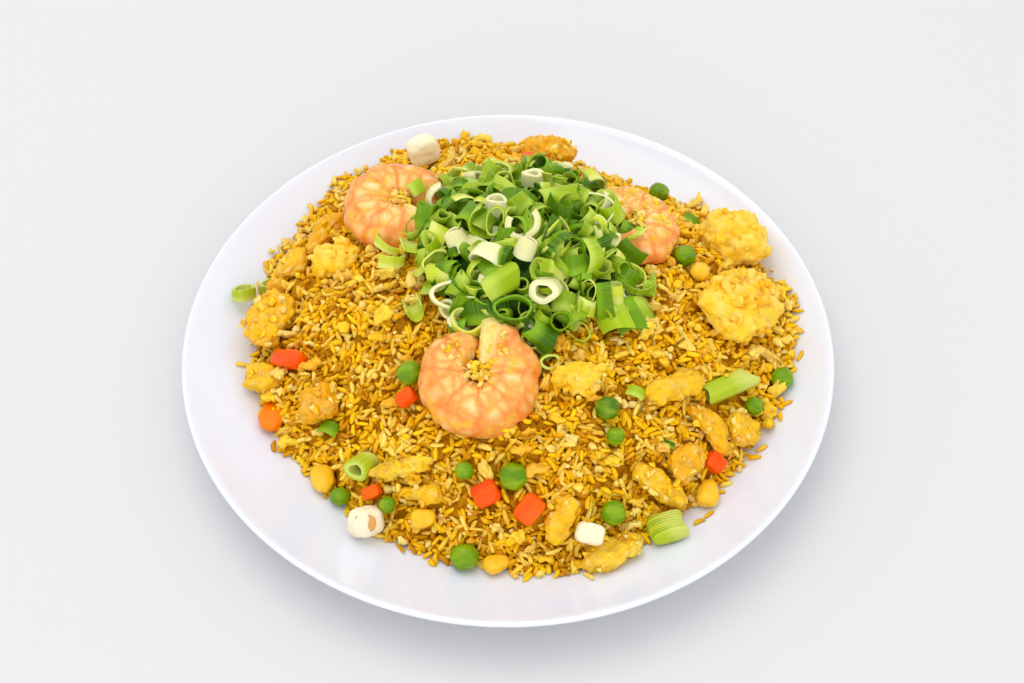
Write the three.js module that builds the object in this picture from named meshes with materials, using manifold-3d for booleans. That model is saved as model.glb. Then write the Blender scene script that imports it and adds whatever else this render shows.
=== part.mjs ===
// Fried rice on a coupe dinner plate, in millimetres, +Z up.
// The origin is the middle of the plate's footprint, on the surface that the plate stands on.
// The rice and the chopped scallions are one heap each. Every topping as large as a pea is a
// solid of its own, pressed into the heap, which is cut to leave it a narrow clearance.

import * as THREE from "three";
import { mergeVertices } from "three/addons/utils/BufferGeometryUtils.js";
import Module from "manifold-3d";

const wasm = await Module();
wasm.setup();

// ---------------------------------------------------------------- driving dimensions

const GAP = 0.3; // clearance between pieces that touch
const CUT_TOLERANCE = 0.2; // how far a cut surface may be simplified
const RAD = Math.PI / 180;
const UP = new THREE.Vector3(0, 0, 1);

const PLATE = {
  radius: 130,
  wellRadius: 78, // the flat middle, before the rim begins to rise
  wellTop: 4.5,
  rimRise: 18.8, // from the flat middle up to the lip
  wall: 3.1, // under the well
  lipWall: 2.6,
  footInner: 68,
  footOuter: 74,
  footBevel: 2,
  segments: 36,
  rimSteps: 4,
};

const RICE = {
  x: 4,
  y: 6,
  radius: 107.5,
  height: 53, // above the plate, without the scallions
  edge: 2, // thickness at the outline
  baseGap: 0.7, // over the plate, whose facets stand slightly proud of its curve
  segments: 36,
  topRings: 7,
  baseShares: [1, 0.86, 0.72],
};

const SCALLIONS = {
  x: 9,
  y: 24,
  halfWidth: 45,
  halfDepth: 53,
  height: 12.5,
  edge: 2,
  sunk: 4, // how far the uncut solid reaches into the rice
  segments: 24,
  topRings: 4,
  baseShares: [1],
};

const COLOURS = {
  porcelain: 0xf1f0f5,
  rice: 0xdcb046,
  scallion: 0x6fa326,
  paleScallion: 0xdfe3b0,
  shrimp: 0xf6a763,
  pea: 0x3f9a26,
  carrot: 0xf4621c,
  corn: 0xf7c02a,
  chicken: 0xe3ab45,
  egg: 0xf3c84e,
};

// ---------------------------------------------------------------- solids and booleans

function closed(geometry) {
  geometry.deleteAttribute("normal");
  geometry.deleteAttribute("uv");
  return mergeVertices(geometry, 1e-4);
}

function toSolid(geometry) {
  return new wasm.Manifold(
    new wasm.Mesh({
      numProp: 3,
      vertProperties: new Float32Array(geometry.attributes.position.array),
      triVerts: new Uint32Array(geometry.index.array),
    }),
  );
}

function toGeometry(solid) {
  const mesh = solid.getMesh();
  const geometry = new THREE.BufferGeometry();
  geometry.setAttribute("position", new THREE.BufferAttribute(mesh.vertProperties, 3));
  geometry.setIndex(new THREE.BufferAttribute(mesh.triVerts, 1));
  return geometry;
}

// Cutting can leave loose crumbs and slivers, so the cut is simplified and the main body is kept.
function mainBody(solid) {
  const bodies = solid.simplify(CUT_TOLERANCE).decompose();
  return bodies.sort((a, b) => b.volume() - a.volume())[0];
}

function fromGrid(points, triangles) {
  const geometry = new THREE.BufferGeometry();
  geometry.setAttribute("position", new THREE.Float32BufferAttribute(points, 3));
  geometry.setIndex(triangles);
  return geometry;
}

// ---------------------------------------------------------------- plate

function plateTop(r) {
  const rise = THREE.MathUtils.clamp((r - PLATE.wellRadius) / (PLATE.radius - PLATE.wellRadius), 0, 1);
  return PLATE.wellTop + PLATE.rimRise * rise * rise;
}

// The section runs from the axis along the underside, round the lip and back over the top.
function plateGeometry() {
  const lipRadius = PLATE.lipWall / 2;
  const lipAt = PLATE.radius - lipRadius;
  const recess = PLATE.wellTop - PLATE.wall + 0.1;
  const section = [
    [0, recess],
    [PLATE.footInner - PLATE.footBevel, recess],
    [PLATE.footInner, 0],
    [PLATE.footOuter, 0],
    [PLATE.footOuter + PLATE.footBevel, recess - 0.1],
  ];
  const radiusAt = (i) => THREE.MathUtils.lerp(PLATE.wellRadius, lipAt, i / PLATE.rimSteps);
  for (let i = 0; i < PLATE.rimSteps; i++) {
    const wall = THREE.MathUtils.lerp(PLATE.wall, PLATE.lipWall, i / PLATE.rimSteps);
    section.push([radiusAt(i), plateTop(radiusAt(i)) - wall]);
  }
  for (const degrees of [-90, 0, 90]) {
    const turn = degrees * RAD;
    section.push([
      lipAt + lipRadius * Math.cos(turn),
      plateTop(lipAt) - lipRadius + lipRadius * Math.sin(turn),
    ]);
  }
  for (let i = PLATE.rimSteps - 1; i >= 0; i--) {
    section.push([radiusAt(i), plateTop(radiusAt(i))]);
  }
  section.push([0, PLATE.wellTop]);
  const profile = section.map(([r, z]) => new THREE.Vector2(r, z));
  return closed(new THREE.LatheGeometry(profile, PLATE.segments).rotateX(Math.PI / 2));
}

// ---------------------------------------------------------------- heaps

// A mound is a polar grid: outline(angle) is its reach, top and base give heights at (x, y).
function moundGeometry({ centre, outline, top, base, segments, topRings, baseShares }) {
  const points = [];
  const triangles = [];
  const ring = (share, height) => {
    const first = points.length / 3;
    for (let i = 0; i < segments; i++) {
      const angle = (i / segments) * 2 * Math.PI;
      const x = centre.x + share * outline(angle) * Math.cos(angle);
      const y = centre.y + share * outline(angle) * Math.sin(angle);
      points.push(x, y, height(x, y));
    }
    return first;
  };
  const band = (inner, outer) => {
    for (let i = 0; i < segments; i++) {
      const next = (i + 1) % segments;
      triangles.push(inner + i, outer + i, outer + next, inner + i, outer + next, inner + next);
    }
  };
  const cap = (middle, first, flip) => {
    for (let i = 0; i < segments; i++) {
      const next = (i + 1) % segments;
      if (flip) triangles.push(middle, first + next, first + i);
      else triangles.push(middle, first + i, first + next);
    }
  };
  const rings = [];
  for (let i = 1; i <= topRings; i++) rings.push(ring(i / topRings, top));
  for (const share of baseShares) rings.push(ring(share, base));
  rings.slice(1).forEach((outer, i) => band(rings[i], outer));
  points.push(centre.x, centre.y, top(centre.x, centre.y));
  cap(points.length / 3 - 1, rings[0], false);
  points.push(centre.x, centre.y, base(centre.x, centre.y));
  cap(points.length / 3 - 1, rings[rings.length - 1], true);
  return fromGrid(points, triangles);
}

// The heap spreads unevenly: each wave is [how many crests, their height, where one is in degrees].
const RICE_WAVES = [
  [1, 3.5, 105],
  [2, 3, -36],
  [3, 3.5, 13],
  [4, 2.5, 10],
  [9, 1.2, 5],
];

function riceOutline(angle) {
  const waves = RICE_WAVES.map(([crests, height, at]) => height * Math.cos(crests * (angle - at * RAD)));
  return waves.reduce((reach, wave) => reach + wave, RICE.radius);
}

// 0 in the middle of the heap and 1 on its outline.
function riceShare(x, y) {
  const angle = Math.atan2(y - RICE.y, x - RICE.x);
  return Math.hypot(x - RICE.x, y - RICE.y) / riceOutline(angle);
}

// A rounded cone with a steep edge, and shallow lumps as wide as a spoonful.
function riceTop(x, y) {
  const share = Math.min(riceShare(x, y), 1);
  const dome = 0.6 * (1 - share ** 1.3) + 0.4 * (1 - share ** 5);
  const lumps = 1.6 * Math.sin(x / 11 + 1) * Math.cos(y / 13) + Math.sin(x / 6 - y / 7);
  const fade = Math.min(1, 4 * (1 - share));
  return plateTop(Math.hypot(x, y)) + RICE.baseGap + RICE.edge + RICE.height * dome + lumps * fade;
}

function riceGeometry() {
  return moundGeometry({
    ...RICE,
    centre: RICE,
    outline: riceOutline,
    top: riceTop,
    base: (x, y) => plateTop(Math.hypot(x, y)) + RICE.baseGap,
  });
}

function scallionOutline(angle) {
  const oval = Math.hypot(Math.cos(angle) / SCALLIONS.halfWidth, Math.sin(angle) / SCALLIONS.halfDepth);
  return 1 / oval + 2.5 * Math.sin(3 * angle + 1) + 2 * Math.sin(7 * angle);
}

function scallionTop(x, y) {
  const angle = Math.atan2(y - SCALLIONS.y, x - SCALLIONS.x);
  const share = Math.hypot(x - SCALLIONS.x, y - SCALLIONS.y) / scallionOutline(angle);
  const lumps = 1.5 * Math.sin(x / 4) * Math.cos(y / 5) * (1 - share ** 4);
  return riceTop(x, y) + SCALLIONS.edge + SCALLIONS.height * (1 - share ** 2.5) + lumps;
}

function scallionGeometry() {
  return moundGeometry({
    ...SCALLIONS,
    centre: SCALLIONS,
    outline: scallionOutline,
    top: scallionTop,
    base: (x, y) => riceTop(x, y) - SCALLIONS.sunk,
  });
}

// ---------------------------------------------------------------- shapes of the toppings

// Each shape gives the body of a topping and a cutter: a simpler form that encloses the body with
// the clearance GAP, which is cut out of the heap.

function moveVertices(geometry, move) {
  const position = geometry.attributes.position;
  const point = new THREE.Vector3();
  for (let i = 0; i < position.count; i++) {
    move(point.fromBufferAttribute(position, i));
    position.setXYZ(i, point.x, point.y, point.z);
  }
  return geometry;
}

// Tapers a unit form along its length, gives it its size and bends both ends up or down.
function form(point, { size, bend = 0, taper = 0 }, grow) {
  const along = point.x;
  const narrow = 1 - taper * along;
  point.x *= size[0] / 2 + grow;
  point.y *= narrow * (size[1] / 2 + grow);
  point.z = point.z * narrow * (size[2] / 2 + grow) + bend * along * along;
}

// A rounded, slightly uneven lump. size is [length, width, height].
function lump({ size, uneven = 0.03, bend, taper, seed = 0 }) {
  const make = (facets, spread, grow) =>
    moveVertices(closed(new THREE.IcosahedronGeometry(1, facets)), (d) => {
      const wave = Math.sin(3.1 * d.x + seed) + Math.sin(4.3 * d.y + 2 * seed) + Math.sin(3.7 * d.z - seed);
      d.multiplyScalar(spread * (1 + uneven * wave));
      form(d, { size, bend, taper }, grow);
    });
  const enclosing = 1.27; // a ball of 20 faces needs this radius to clear one of 80
  return { body: make(1, 1, 0), cutter: make(0, enclosing, GAP) };
}

const EDGE_BALL = 1.25; // edges and corners of a cube of half size 1 are drawn in to this radius

// A cut piece with six flat sides and rounded edges.
function block({ size, rounding = 0.35, bend, taper }) {
  const body = closed(new THREE.BoxGeometry(2, 2, 2, 2, 2, 2));
  moveVertices(body, (d) => {
    const ball = d.clone().normalize().multiplyScalar(EDGE_BALL);
    const onEdge = d.length() > 1.1;
    d.lerp(ball, onEdge ? rounding : 0);
    form(d, { size, bend, taper }, 0);
  });
  const cutter = closed(new THREE.BoxGeometry(2, 2, 2, 2, 1, 1));
  moveVertices(cutter, (d) => form(d, { size, bend, taper }, GAP));
  return { body, cutter };
}

// A cooked pea is round, a little flat, and never quite regular.
function pea(diameter, seed) {
  return lump({ size: [diameter, diameter * 0.96, diameter * 0.9], uneven: 0.012, seed });
}

// A kernel narrows to the end that was joined to the cob.
function kernel(length, seed) {
  return lump({ size: [length, length * 0.86, length * 0.6], uneven: 0.015, taper: 0.22, seed });
}

function turned(profile, sides) {
  const points = profile.map(([r, z]) => new THREE.Vector2(r, z));
  return closed(new THREE.LatheGeometry(points, sides).rotateX(Math.PI / 2));
}

// A plain oval disc that encloses a turned piece of the given size.
function discCutter(length, width, height) {
  const sides = 8;
  const reach = 1 / Math.cos(Math.PI / sides);
  const disc = turned([[0, -0.5], [1, -0.5], [1, 0.5], [0, 0.5]], sides);
  return disc.scale(reach * (length / 2 + GAP), reach * (width / 2 + GAP), height + 2 * GAP);
}

// A round slice with softened edges.
function coin(length, width, thickness) {
  const profile = [[0, -0.5], [0.84, -0.5], [1, -0.25], [1, 0.25], [0.84, 0.5], [0, 0.5]];
  return {
    body: turned(profile, 12).scale(length / 2, width / 2, thickness),
    cutter: discCutter(length, width, thickness),
  };
}

// A slice of a hollow leaf: an oval ring, its axis upright before it is turned.
function leafRing(length, width, height, wall) {
  const inner = 1 - (2 * wall) / length;
  const profile = [[inner, -0.5], [1, -0.5], [1, 0.5], [inner, 0.5], [inner, -0.5]];
  return {
    body: turned(profile, 10).scale(length / 2, width / 2, height),
    cutter: discCutter(length, width, height),
  };
}

// A peeled, curled shrimp lying on its side: a body swept round a closing spiral, thick and
// blunt at the head end, with ribbed sections, and running out to a thin tail.
const SHRIMP = {
  length: 40, // across the curl, for which the sizes below hold
  spine: 12.4, // radius of the middle line at the head
  closing: 1.2, // how much that radius shrinks towards the tail
  girth: 9.3, // half the width of the body behind the head
  tail: 3.2, // half the width at the tail
  sweep: 318, // degrees from head to tail
  flatness: 0.8, // height of the body over its width
  ribs: 6,
};

const END_OVERRUN = 9; // degrees by which a cutter passes each end, for each millimetre of clearance

function shrimpSweep({ across, start, stations, sides, spread, grow }) {
  const points = [];
  const triangles = [];
  const scale = across / SHRIMP.length;
  for (let i = 0; i <= stations; i++) {
    const t = i / stations;
    const overrun = grow * (i === 0 ? END_OVERRUN : i === stations ? -END_OVERRUN : 0);
    const angle = (start + overrun - SHRIMP.sweep * t) * RAD;
    const ribbed = 1 - 0.05 * Math.abs(Math.cos(Math.PI * SHRIMP.ribs * t));
    const blunt = i === 0 ? 0.75 : 1;
    const girth = THREE.MathUtils.lerp(SHRIMP.tail, SHRIMP.girth, 1 - t ** 4);
    const half = spread * (girth * scale * ribbed * blunt + grow);
    const spine = (SHRIMP.spine - SHRIMP.closing * t) * scale;
    for (let j = 0; j < sides; j++) {
      const turn = ((j + 0.5) / sides) * 2 * Math.PI;
      const radius = spine + half * Math.cos(turn);
      points.push(radius * Math.cos(angle), radius * Math.sin(angle));
      points.push(half * SHRIMP.flatness * Math.sin(turn));
    }
  }
  const at = (i, j) => i * sides + (j % sides);
  for (let i = 0; i < stations; i++) {
    for (let j = 0; j < sides; j++) {
      triangles.push(at(i, j), at(i, j + 1), at(i + 1, j + 1));
      triangles.push(at(i, j), at(i + 1, j + 1), at(i + 1, j));
    }
  }
  for (let j = 1; j < sides - 1; j++) {
    triangles.push(at(0, 0), at(0, j + 1), at(0, j));
    triangles.push(at(stations, 0), at(stations, j), at(stations, j + 1));
  }
  return fromGrid(points, triangles);
}

function shrimp(across, start) {
  return {
    body: shrimpSweep({ across, start, stations: 15, sides: 8, spread: 1, grow: 0 }),
    cutter: shrimpSweep({ across, start, stations: 11, sides: 6, spread: 1.32, grow: GAP }),
  };
}

// ---------------------------------------------------------------- where the toppings lie

// x and y place a topping on the heap, or on the plate beside it where onPlate is set, and lift is
// the height of its middle above that surface. level turns it from lying along the surface (0) to
// lying flat (1). Angles are in degrees.

const shrimps = [
  { name: "shrimp_front", shape: shrimp(44, 78), x: -12, y: -40, lift: 2.5 },
  { name: "shrimp_left", shape: shrimp(43, -40), x: -43, y: 51, lift: 2.5, level: 1 },
  { name: "shrimp_right", shape: shrimp(37, 160), x: 50, y: 36, lift: 0.5, level: 0.5 },
];

const peas = [
  { x: -37, y: -36, size: 9.5, lift: 3 },
  { x: -16, y: -96, size: 10.5, lift: 5.3, onPlate: true },
  { x: 2, y: -75, size: 10.5, lift: 1.5 },
  { x: -16, y: -72, size: 7, lift: 1 },
  { x: -64, y: -68, size: 7.5, lift: 1.5 },
  { x: -45, y: -77, size: 6.5, lift: 1.4 },
  { x: 37, y: -51, size: 9, lift: 2 },
  { x: 40, y: -59, size: 7, lift: 1 },
  { x: 39, y: -83, size: 9.5, lift: 1.5 },
  { x: 96, y: -32, size: 7.5, lift: 1.5 },
  { x: 109, y: -16, size: 9, lift: 1.4 },
  { x: 65, y: 80, size: 8.5, lift: 2 },
  { x: 71, y: 26, size: 9, lift: 1.5 },
];

const carrots = [
  { shape: block({ size: [19, 7, 6.5], bend: -0.6 }), x: -87, y: -12, lift: 1, yaw: -28 },
  { shape: coin(15, 10, 5), x: -93, y: -31, lift: 4.4, yaw: 85, roll: -14, onPlate: true },
  { shape: block({ size: [8, 6, 5], rounding: 0.2 }), x: -38, y: -44, lift: 0.5, yaw: 20 },
  { shape: block({ size: [10, 9, 7], rounding: 0.15 }), x: -8, y: -79, lift: 0.8, yaw: 25 },
  { shape: block({ size: [11, 9, 7], rounding: 0.15 }), x: 8, y: -85, lift: 1, yaw: 50 },
  { shape: block({ size: [8, 5, 4.5], rounding: 0.3 }), x: -51, y: -71, lift: 0.5, yaw: 10 },
  { shape: block({ size: [8, 7, 5], rounding: 0.3 }), x: 79, y: -57, lift: 1, yaw: -30 },
  { shape: block({ size: [11, 6.5, 5], rounding: 0.3 }), x: 11, y: 84, lift: 1, yaw: 5 },
];

const cornKernels = [
  { x: -71, y: -60, size: 12, lift: 4.2, yaw: -80, onPlate: true },
  { x: -4, y: -98, size: 10, lift: 3.8, yaw: 30, onPlate: true },
  { x: -31, y: -84, size: 9.5, lift: 1.6 },
  { x: 77, y: 20, size: 10, lift: 1.2, yaw: 60 },
  { x: 76, y: -68, size: 11, lift: 1.6, yaw: -100 },
];

const chickenPieces = [
  { shape: block({ size: [22, 14, 8], bend: 1 }), x: 17, y: 98, lift: 2.5, yaw: 12, level: 0.3 },
  { shape: lump({ size: [23, 8, 7], bend: -1, seed: 1 }), x: -76, y: 50, lift: 1, yaw: 62 },
  { shape: lump({ size: [14, 12, 8], seed: 2 }), x: -89, y: 36, lift: 1, yaw: 40 },
  { shape: block({ size: [23, 16, 10], rounding: 0.5 }), x: -97, y: 10, lift: 3, yaw: 62, level: 0.6 },
  { shape: lump({ size: [13, 11, 8], seed: 4 }), x: -98, y: -15, lift: 3, level: 0.4 },
  { shape: block({ size: [14, 12, 9] }), x: -73, y: -36, lift: 1, yaw: 15 },
  { shape: lump({ size: [25, 6, 5.5], bend: -0.6, seed: 6 }), x: -39, y: -67, lift: 1.4, yaw: 4 },
  { shape: block({ size: [16, 6, 5] }), x: -33, y: -76, lift: 1, yaw: -12 },
  { shape: lump({ size: [29, 9, 7], bend: -1.4, seed: 8 }), x: 64, y: -36, lift: 2, yaw: 28 },
  { shape: block({ size: [14, 10, 7] }), x: 91, y: -43, lift: 1.6, yaw: -10 },
  { shape: lump({ size: [20, 8, 6], bend: -2, seed: 10 }), x: 77, y: -46, lift: 1, yaw: -45 },
  { shape: lump({ size: [14, 11, 9], seed: 11 }), x: 68, y: -60, lift: 1, yaw: 50 },
  { shape: block({ size: [22, 8, 6] }), x: 57, y: -70, lift: 1, yaw: -26 },
  { shape: block({ size: [16, 7, 6] }), x: 20, y: -88, lift: 0.8, yaw: 75 },
  { shape: block({ size: [21, 11, 6], bend: -0.6 }), x: 38, y: -94, lift: 4.2, yaw: 28, onPlate: true },
];

const eggPieces = [
  { shape: lump({ size: [27, 25, 17], uneven: 0.04, seed: 3 }), x: 94, y: 50, lift: 3, level: 0.5 },
  { shape: block({ size: [17, 11, 8], rounding: 0.5 }), x: 27, y: -41, lift: 2, yaw: -8 },
  { shape: lump({ size: [17, 14, 9], uneven: 0.04, seed: 5 }), x: -70, y: 30, lift: 1, yaw: 20 },
  { shape: lump({ size: [36, 26, 14], uneven: 0.04, seed: 6 }), x: 93, y: 7, lift: 2, yaw: 35 },
];

const scallionPieces = [
  { shape: leafRing(11, 9, 4.5, 1.6), x: -109, y: 27, lift: 5.8, roll: -48, yaw: 30, onPlate: true },
  { shape: leafRing(11.5, 9, 5, 1.6), x: -98, y: 33, lift: 6.4, roll: -48, yaw: 40, onPlate: true },
  { shape: coin(12, 10, 13), pale: true, x: -37, y: 98, lift: 3.4, pitch: 80, yaw: 22, level: 0.4 },
  { shape: block({ size: [14, 11, 7] }), x: 59, y: -84, lift: 4.9, yaw: 14, onPlate: true },
  { shape: coin(13, 11, 11), pale: true, x: -53, y: -82, lift: 7.2, roll: 62, yaw: 35, onPlate: true },
  { shape: leafRing(10.5, 9.5, 9, 3), x: -55, y: -62, lift: 1.5, roll: 25 },
  { shape: block({ size: [10, 7.5, 7] }), pale: true, x: 30, y: -92, lift: 5, yaw: -8 },
  { shape: leafRing(9, 6, 11, 1.2), x: -36, y: -9, lift: 1.5, roll: 70, yaw: 20 },
  { shape: leafRing(9, 7.5, 22, 1.8), x: 85, y: -28, lift: 0.6, roll: 90, yaw: -58 },
];

// ---------------------------------------------------------------- putting it together

function surfaceNormal(surface, x, y) {
  const step = 3;
  const slopeX = (surface(x + step, y) - surface(x - step, y)) / (2 * step);
  const slopeY = (surface(x, y + step) - surface(x, y - step)) / (2 * step);
  return new THREE.Vector3(-slopeX, -slopeY, 1).normalize();
}

function settle(mesh, { x, y, lift, yaw = 0, pitch = 0, roll = 0, level = 0, onPlate = false }) {
  const surface = onPlate ? (u, v) => plateTop(Math.hypot(u, v)) : riceTop;
  const normal = surfaceNormal(surface, x, y).lerp(UP, level).normalize();
  const turn = new THREE.Euler(roll * RAD, pitch * RAD, yaw * RAD, "ZYX");
  mesh.quaternion.setFromUnitVectors(UP, normal).multiply(new THREE.Quaternion().setFromEuler(turn));
  mesh.position.set(x, y, surface(x, y) + lift);
  mesh.updateMatrix();
}

function material(colour, roughness) {
  return new THREE.MeshStandardMaterial({ color: COLOURS[colour], roughness, metalness: 0 });
}

function named(name, geometry, colour, roughness) {
  const mesh = new THREE.Mesh(geometry, material(colour, roughness));
  mesh.name = name;
  return mesh;
}

const part = new THREE.Group();
const cutters = [];

function addTopping(name, shape, place, colour, roughness) {
  const mesh = named(name, shape.body, colour, roughness);
  settle(mesh, place);
  part.add(mesh);
  cutters.push(toSolid(shape.cutter.applyMatrix4(mesh.matrix)));
}

function addKind(kind, places, colour, roughness) {
  places.forEach((place, i) => {
    const name = place.name ?? `${kind}_${String(i + 1).padStart(2, "0")}`;
    addTopping(name, place.shape, place, place.pale ? "paleScallion" : colour, roughness);
  });
}

addKind("shrimp", shrimps, "shrimp", 0.35);
addKind("pea", peas.map((place, i) => ({ ...place, shape: pea(place.size, i) })), "pea", 0.3);
addKind("carrot", carrots, "carrot", 0.4);
addKind("corn", cornKernels.map((place, i) => ({ ...place, shape: kernel(place.size, i) })), "corn", 0.35);
addKind("chicken", chickenPieces, "chicken", 0.5);
addKind("egg", eggPieces, "egg", 0.6);
addKind("scallion", scallionPieces, "scallion", 0.4);

const toppings = wasm.Manifold.union(cutters);
const riceSolid = toSolid(riceGeometry());
const scallionSolid = toSolid(scallionGeometry()).subtract(riceSolid.translate([0, 0, GAP]));

part.add(
  named("plate", plateGeometry(), "porcelain", 0.2),
  named("rice_heap", toGeometry(mainBody(riceSolid.subtract(toppings))), "rice", 0.6),
  named("scallion_pile", toGeometry(mainBody(scallionSolid.subtract(toppings))), "scallion", 0.4),
);

export default part;
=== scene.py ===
"""Looks for a plate of fried rice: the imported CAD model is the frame, and every food is made here.

The heap of rice and the pile of scallions are replaced by loose pieces that are laid over a
smaller core and then pushed apart until they rest on each other. Lengths are in millimetres and
become metres only when a mesh is made.
"""

import math

import bpy
import bmesh
import numpy as np
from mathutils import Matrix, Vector, noise
from mathutils.bvhtree import BVHTree


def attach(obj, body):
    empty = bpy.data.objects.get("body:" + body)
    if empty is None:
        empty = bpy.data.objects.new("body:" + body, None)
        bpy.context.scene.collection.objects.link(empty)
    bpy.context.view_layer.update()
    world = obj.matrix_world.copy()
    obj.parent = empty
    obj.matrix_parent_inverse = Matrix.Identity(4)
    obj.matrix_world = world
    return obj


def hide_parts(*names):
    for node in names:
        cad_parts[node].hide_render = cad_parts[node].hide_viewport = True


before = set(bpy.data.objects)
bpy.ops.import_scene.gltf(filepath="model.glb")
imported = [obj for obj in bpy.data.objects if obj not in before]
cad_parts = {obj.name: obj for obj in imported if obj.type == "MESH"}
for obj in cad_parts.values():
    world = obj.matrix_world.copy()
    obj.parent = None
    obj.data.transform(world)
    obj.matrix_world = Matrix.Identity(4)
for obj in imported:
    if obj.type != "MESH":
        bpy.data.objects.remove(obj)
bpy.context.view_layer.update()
TOPPINGS = [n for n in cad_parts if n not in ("plate", "rice_heap", "scallion_pile")]
MM = 0.001
random = np.random.default_rng(11)

# ---------------------------------------------------------------- driving dimensions

CAMERA = {"lens": 58, "elevation": 51.1, "distance": 663, "target": (1.6, 0, 20)}

PLATE = {
    "radius": 130,
    "well_radius": 78,
    "well_top": 4.5,
    "rim_rise": 18.8,
    "wall": 3.1,
    "lip_wall": 2.6,
    "foot_inner": 68,
    "foot_outer": 74,
    "foot_bevel": 2,
}

HEAP_MIDDLE = (4, 6)
HEAP_LUMP = 5.5  # height of the lumps on the heap
HEAP_FINE_LUMP = 3.2
CORE_DEPTH = 4.0  # how far the core of the heap lies under its outer surface
RICE_LAYER = 4.8  # thickness of the layer into which grains are thrown
GRAIN_RADIUS = 0.74  # half the width of a grain where grains touch
RIM_INSET = 2.5  # how far the rim of a core lies inside the outline
CORE_ROUGHNESS = 0.7
PILE_MIDDLE = (9, 24)
PILE_DEPTH = 6.5
PILE_LAYER = 8.0
WORLD_LIGHT = 0.98
LIGHTS = (
    ("key", (-0.3, 0.35, 1.6), 1.3, 7.5),
    ("fill", (0.1, -1.3, 0.5), 1.0, 3.6),
)
FIELD_REACH = 136  # half the side of the square that the height fields cover
FIELD_STEP = 1.0
RAY_TOP = 200  # rays that find the foods' surfaces start above and below everything
RAY_BOTTOM = -50
SETTLE_ROUNDS = 60
PAIR_ROUNDS = 5  # rounds between two searches for things that are near each other
PAIR_SLACK = 1.2  # gap below which two balls count as near
CROWDED = 1.5  # pushes on one ball are averaged from this many touches on

RICE_KINDS = {
    "rice_pale": {"share": 0.28, "length": (4.8, 7.2), "colours": ("FBD040", "FFE068", "F2BC28")},
    "rice_golden": {"share": 0.33, "length": (4.4, 6.6), "colours": ("F0B406", "F8C414", "E4A804")},
    "rice_yellow": {"share": 0.27, "length": (3.8, 6.2), "colours": ("FFC400", "FFD41A", "F6B200")},
    "rice_toasted": {"share": 0.12, "length": (3.6, 5.8), "colours": ("D69604", "C68402", "E0A60C")},
}
GRAINS = 6800
CRUMBS = 1400
CURDS = 230
VARIANTS = 10
BLUNT_SHARE = 0.35  # share of grain ends that are blunt
RICE_CELLS = 32  # the square that colours the grains has this many cells a side
RICE_PULL = 0.1  # how far grains are drawn in at the first round of settling
LEAF_PULL = 0.12  # the same for scallion slices
CRUMB_KINDS = {
    "curds": {
        "half": (1.3, 0.8, 0.45),
        "fineness": 3,
        "rough": ((0.9, 0.7), (0.4, 0.35)),
        "seed": 30,
        "uneven": (0.75, 1.3),
        "cells": 8,
    },
    "crumbs": {
        "half": (1, 0.8, 0.65),
        "fineness": 2,
        "rough": ((1.0, 0.6), (0.4, 0.2)),
        "seed": 0,
        "uneven": (0.8, 1.25),
        "cells": 16,
    },
}
FALLEN = (  # places of the grains that lie loose on the plate
    *((72, -80), (76, -77), (96, -51), (99, -47), (-44, 101), (-40, 104)),
    *((-108, -5), (-104, -9), (-92, -44), (112, 16), (30, -104)),
)

# ---------------------------------------------------------------- small helpers


def linear(hex_colour):
    """The linear red, green and blue of an sRGB hex colour, with alpha 1."""
    channels = [int(hex_colour[i : i + 2], 16) / 255 for i in (0, 2, 4)]
    return tuple(c / 12.92 if c <= 0.04045 else ((c + 0.055) / 1.055) ** 2.4 for c in channels) + (1,)


def unit(vectors):
    return vectors / np.maximum(np.linalg.norm(vectors, axis=-1, keepdims=True), 1e-9)


def frames(directions, ups):
    """Rotation matrices whose first column is the direction and whose third is nearest to up."""
    x = unit(directions)
    y = unit(np.cross(ups, x))
    z = np.cross(x, y)
    return np.stack([x, y, z], axis=-1)


def ball(subdivisions):
    """Points and triangles of an icosphere of radius 1."""
    made = bmesh.new()
    bmesh.ops.create_icosphere(made, subdivisions=subdivisions, radius=1)
    points = np.array([v.co for v in made.verts])
    triangles = np.array([[v.index for v in face.verts] for face in made.faces])
    made.free()
    return points, triangles


def lumps(points, size, seed, detail=2):
    """Fractal noise of about -1 to 1 at each point, with lumps of the given size."""
    shift = Vector((seed * 7.3, seed * 3.1, seed * 5.7))
    return np.array([noise.fractal(Vector(p) / size + shift, 0.6, 2.0, detail) for p in points])


# ---------------------------------------------------------------- height fields


class Field:
    """Heights on a square grid, read between grid points by bilinear interpolation."""

    def __init__(self, heights):
        self.heights = heights
        slope_x, slope_y = np.gradient(heights, FIELD_STEP)
        self.slopes = np.stack([slope_x, slope_y], axis=-1)

    def _read(self, table, x, y):
        u = np.clip((x + FIELD_REACH) / FIELD_STEP, 0, len(self.heights) - 1.001)
        v = np.clip((y + FIELD_REACH) / FIELD_STEP, 0, len(self.heights) - 1.001)
        i, j = u.astype(int), v.astype(int)
        s, t = u - i, v - j
        if table.ndim == 3:
            s, t = s[..., None], t[..., None]
        low = table[i, j] * (1 - t) + table[i, j + 1] * t
        high = table[i + 1, j] * (1 - t) + table[i + 1, j + 1] * t
        return low * (1 - s) + high * s

    def height(self, x, y):
        return self._read(self.heights, x, y)

    def normal(self, x, y):
        slopes = self._read(self.slopes, x, y)
        return unit(np.concatenate([-slopes, np.ones(slopes.shape[:-1] + (1,))], axis=-1))


def blurred(table, passes):
    """Repeated small blurs, which together are close to a Gaussian."""
    for _ in range(passes):
        padded = np.pad(table, 1, mode="edge")
        table = (padded[:-2, 1:-1] + padded[2:, 1:-1] + 2 * padded[1:-1, 1:-1]) / 4
        padded = np.pad(table, 1, mode="edge")
        table = (padded[1:-1, :-2] + padded[1:-1, 2:] + 2 * padded[1:-1, 1:-1]) / 4
    return table


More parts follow.
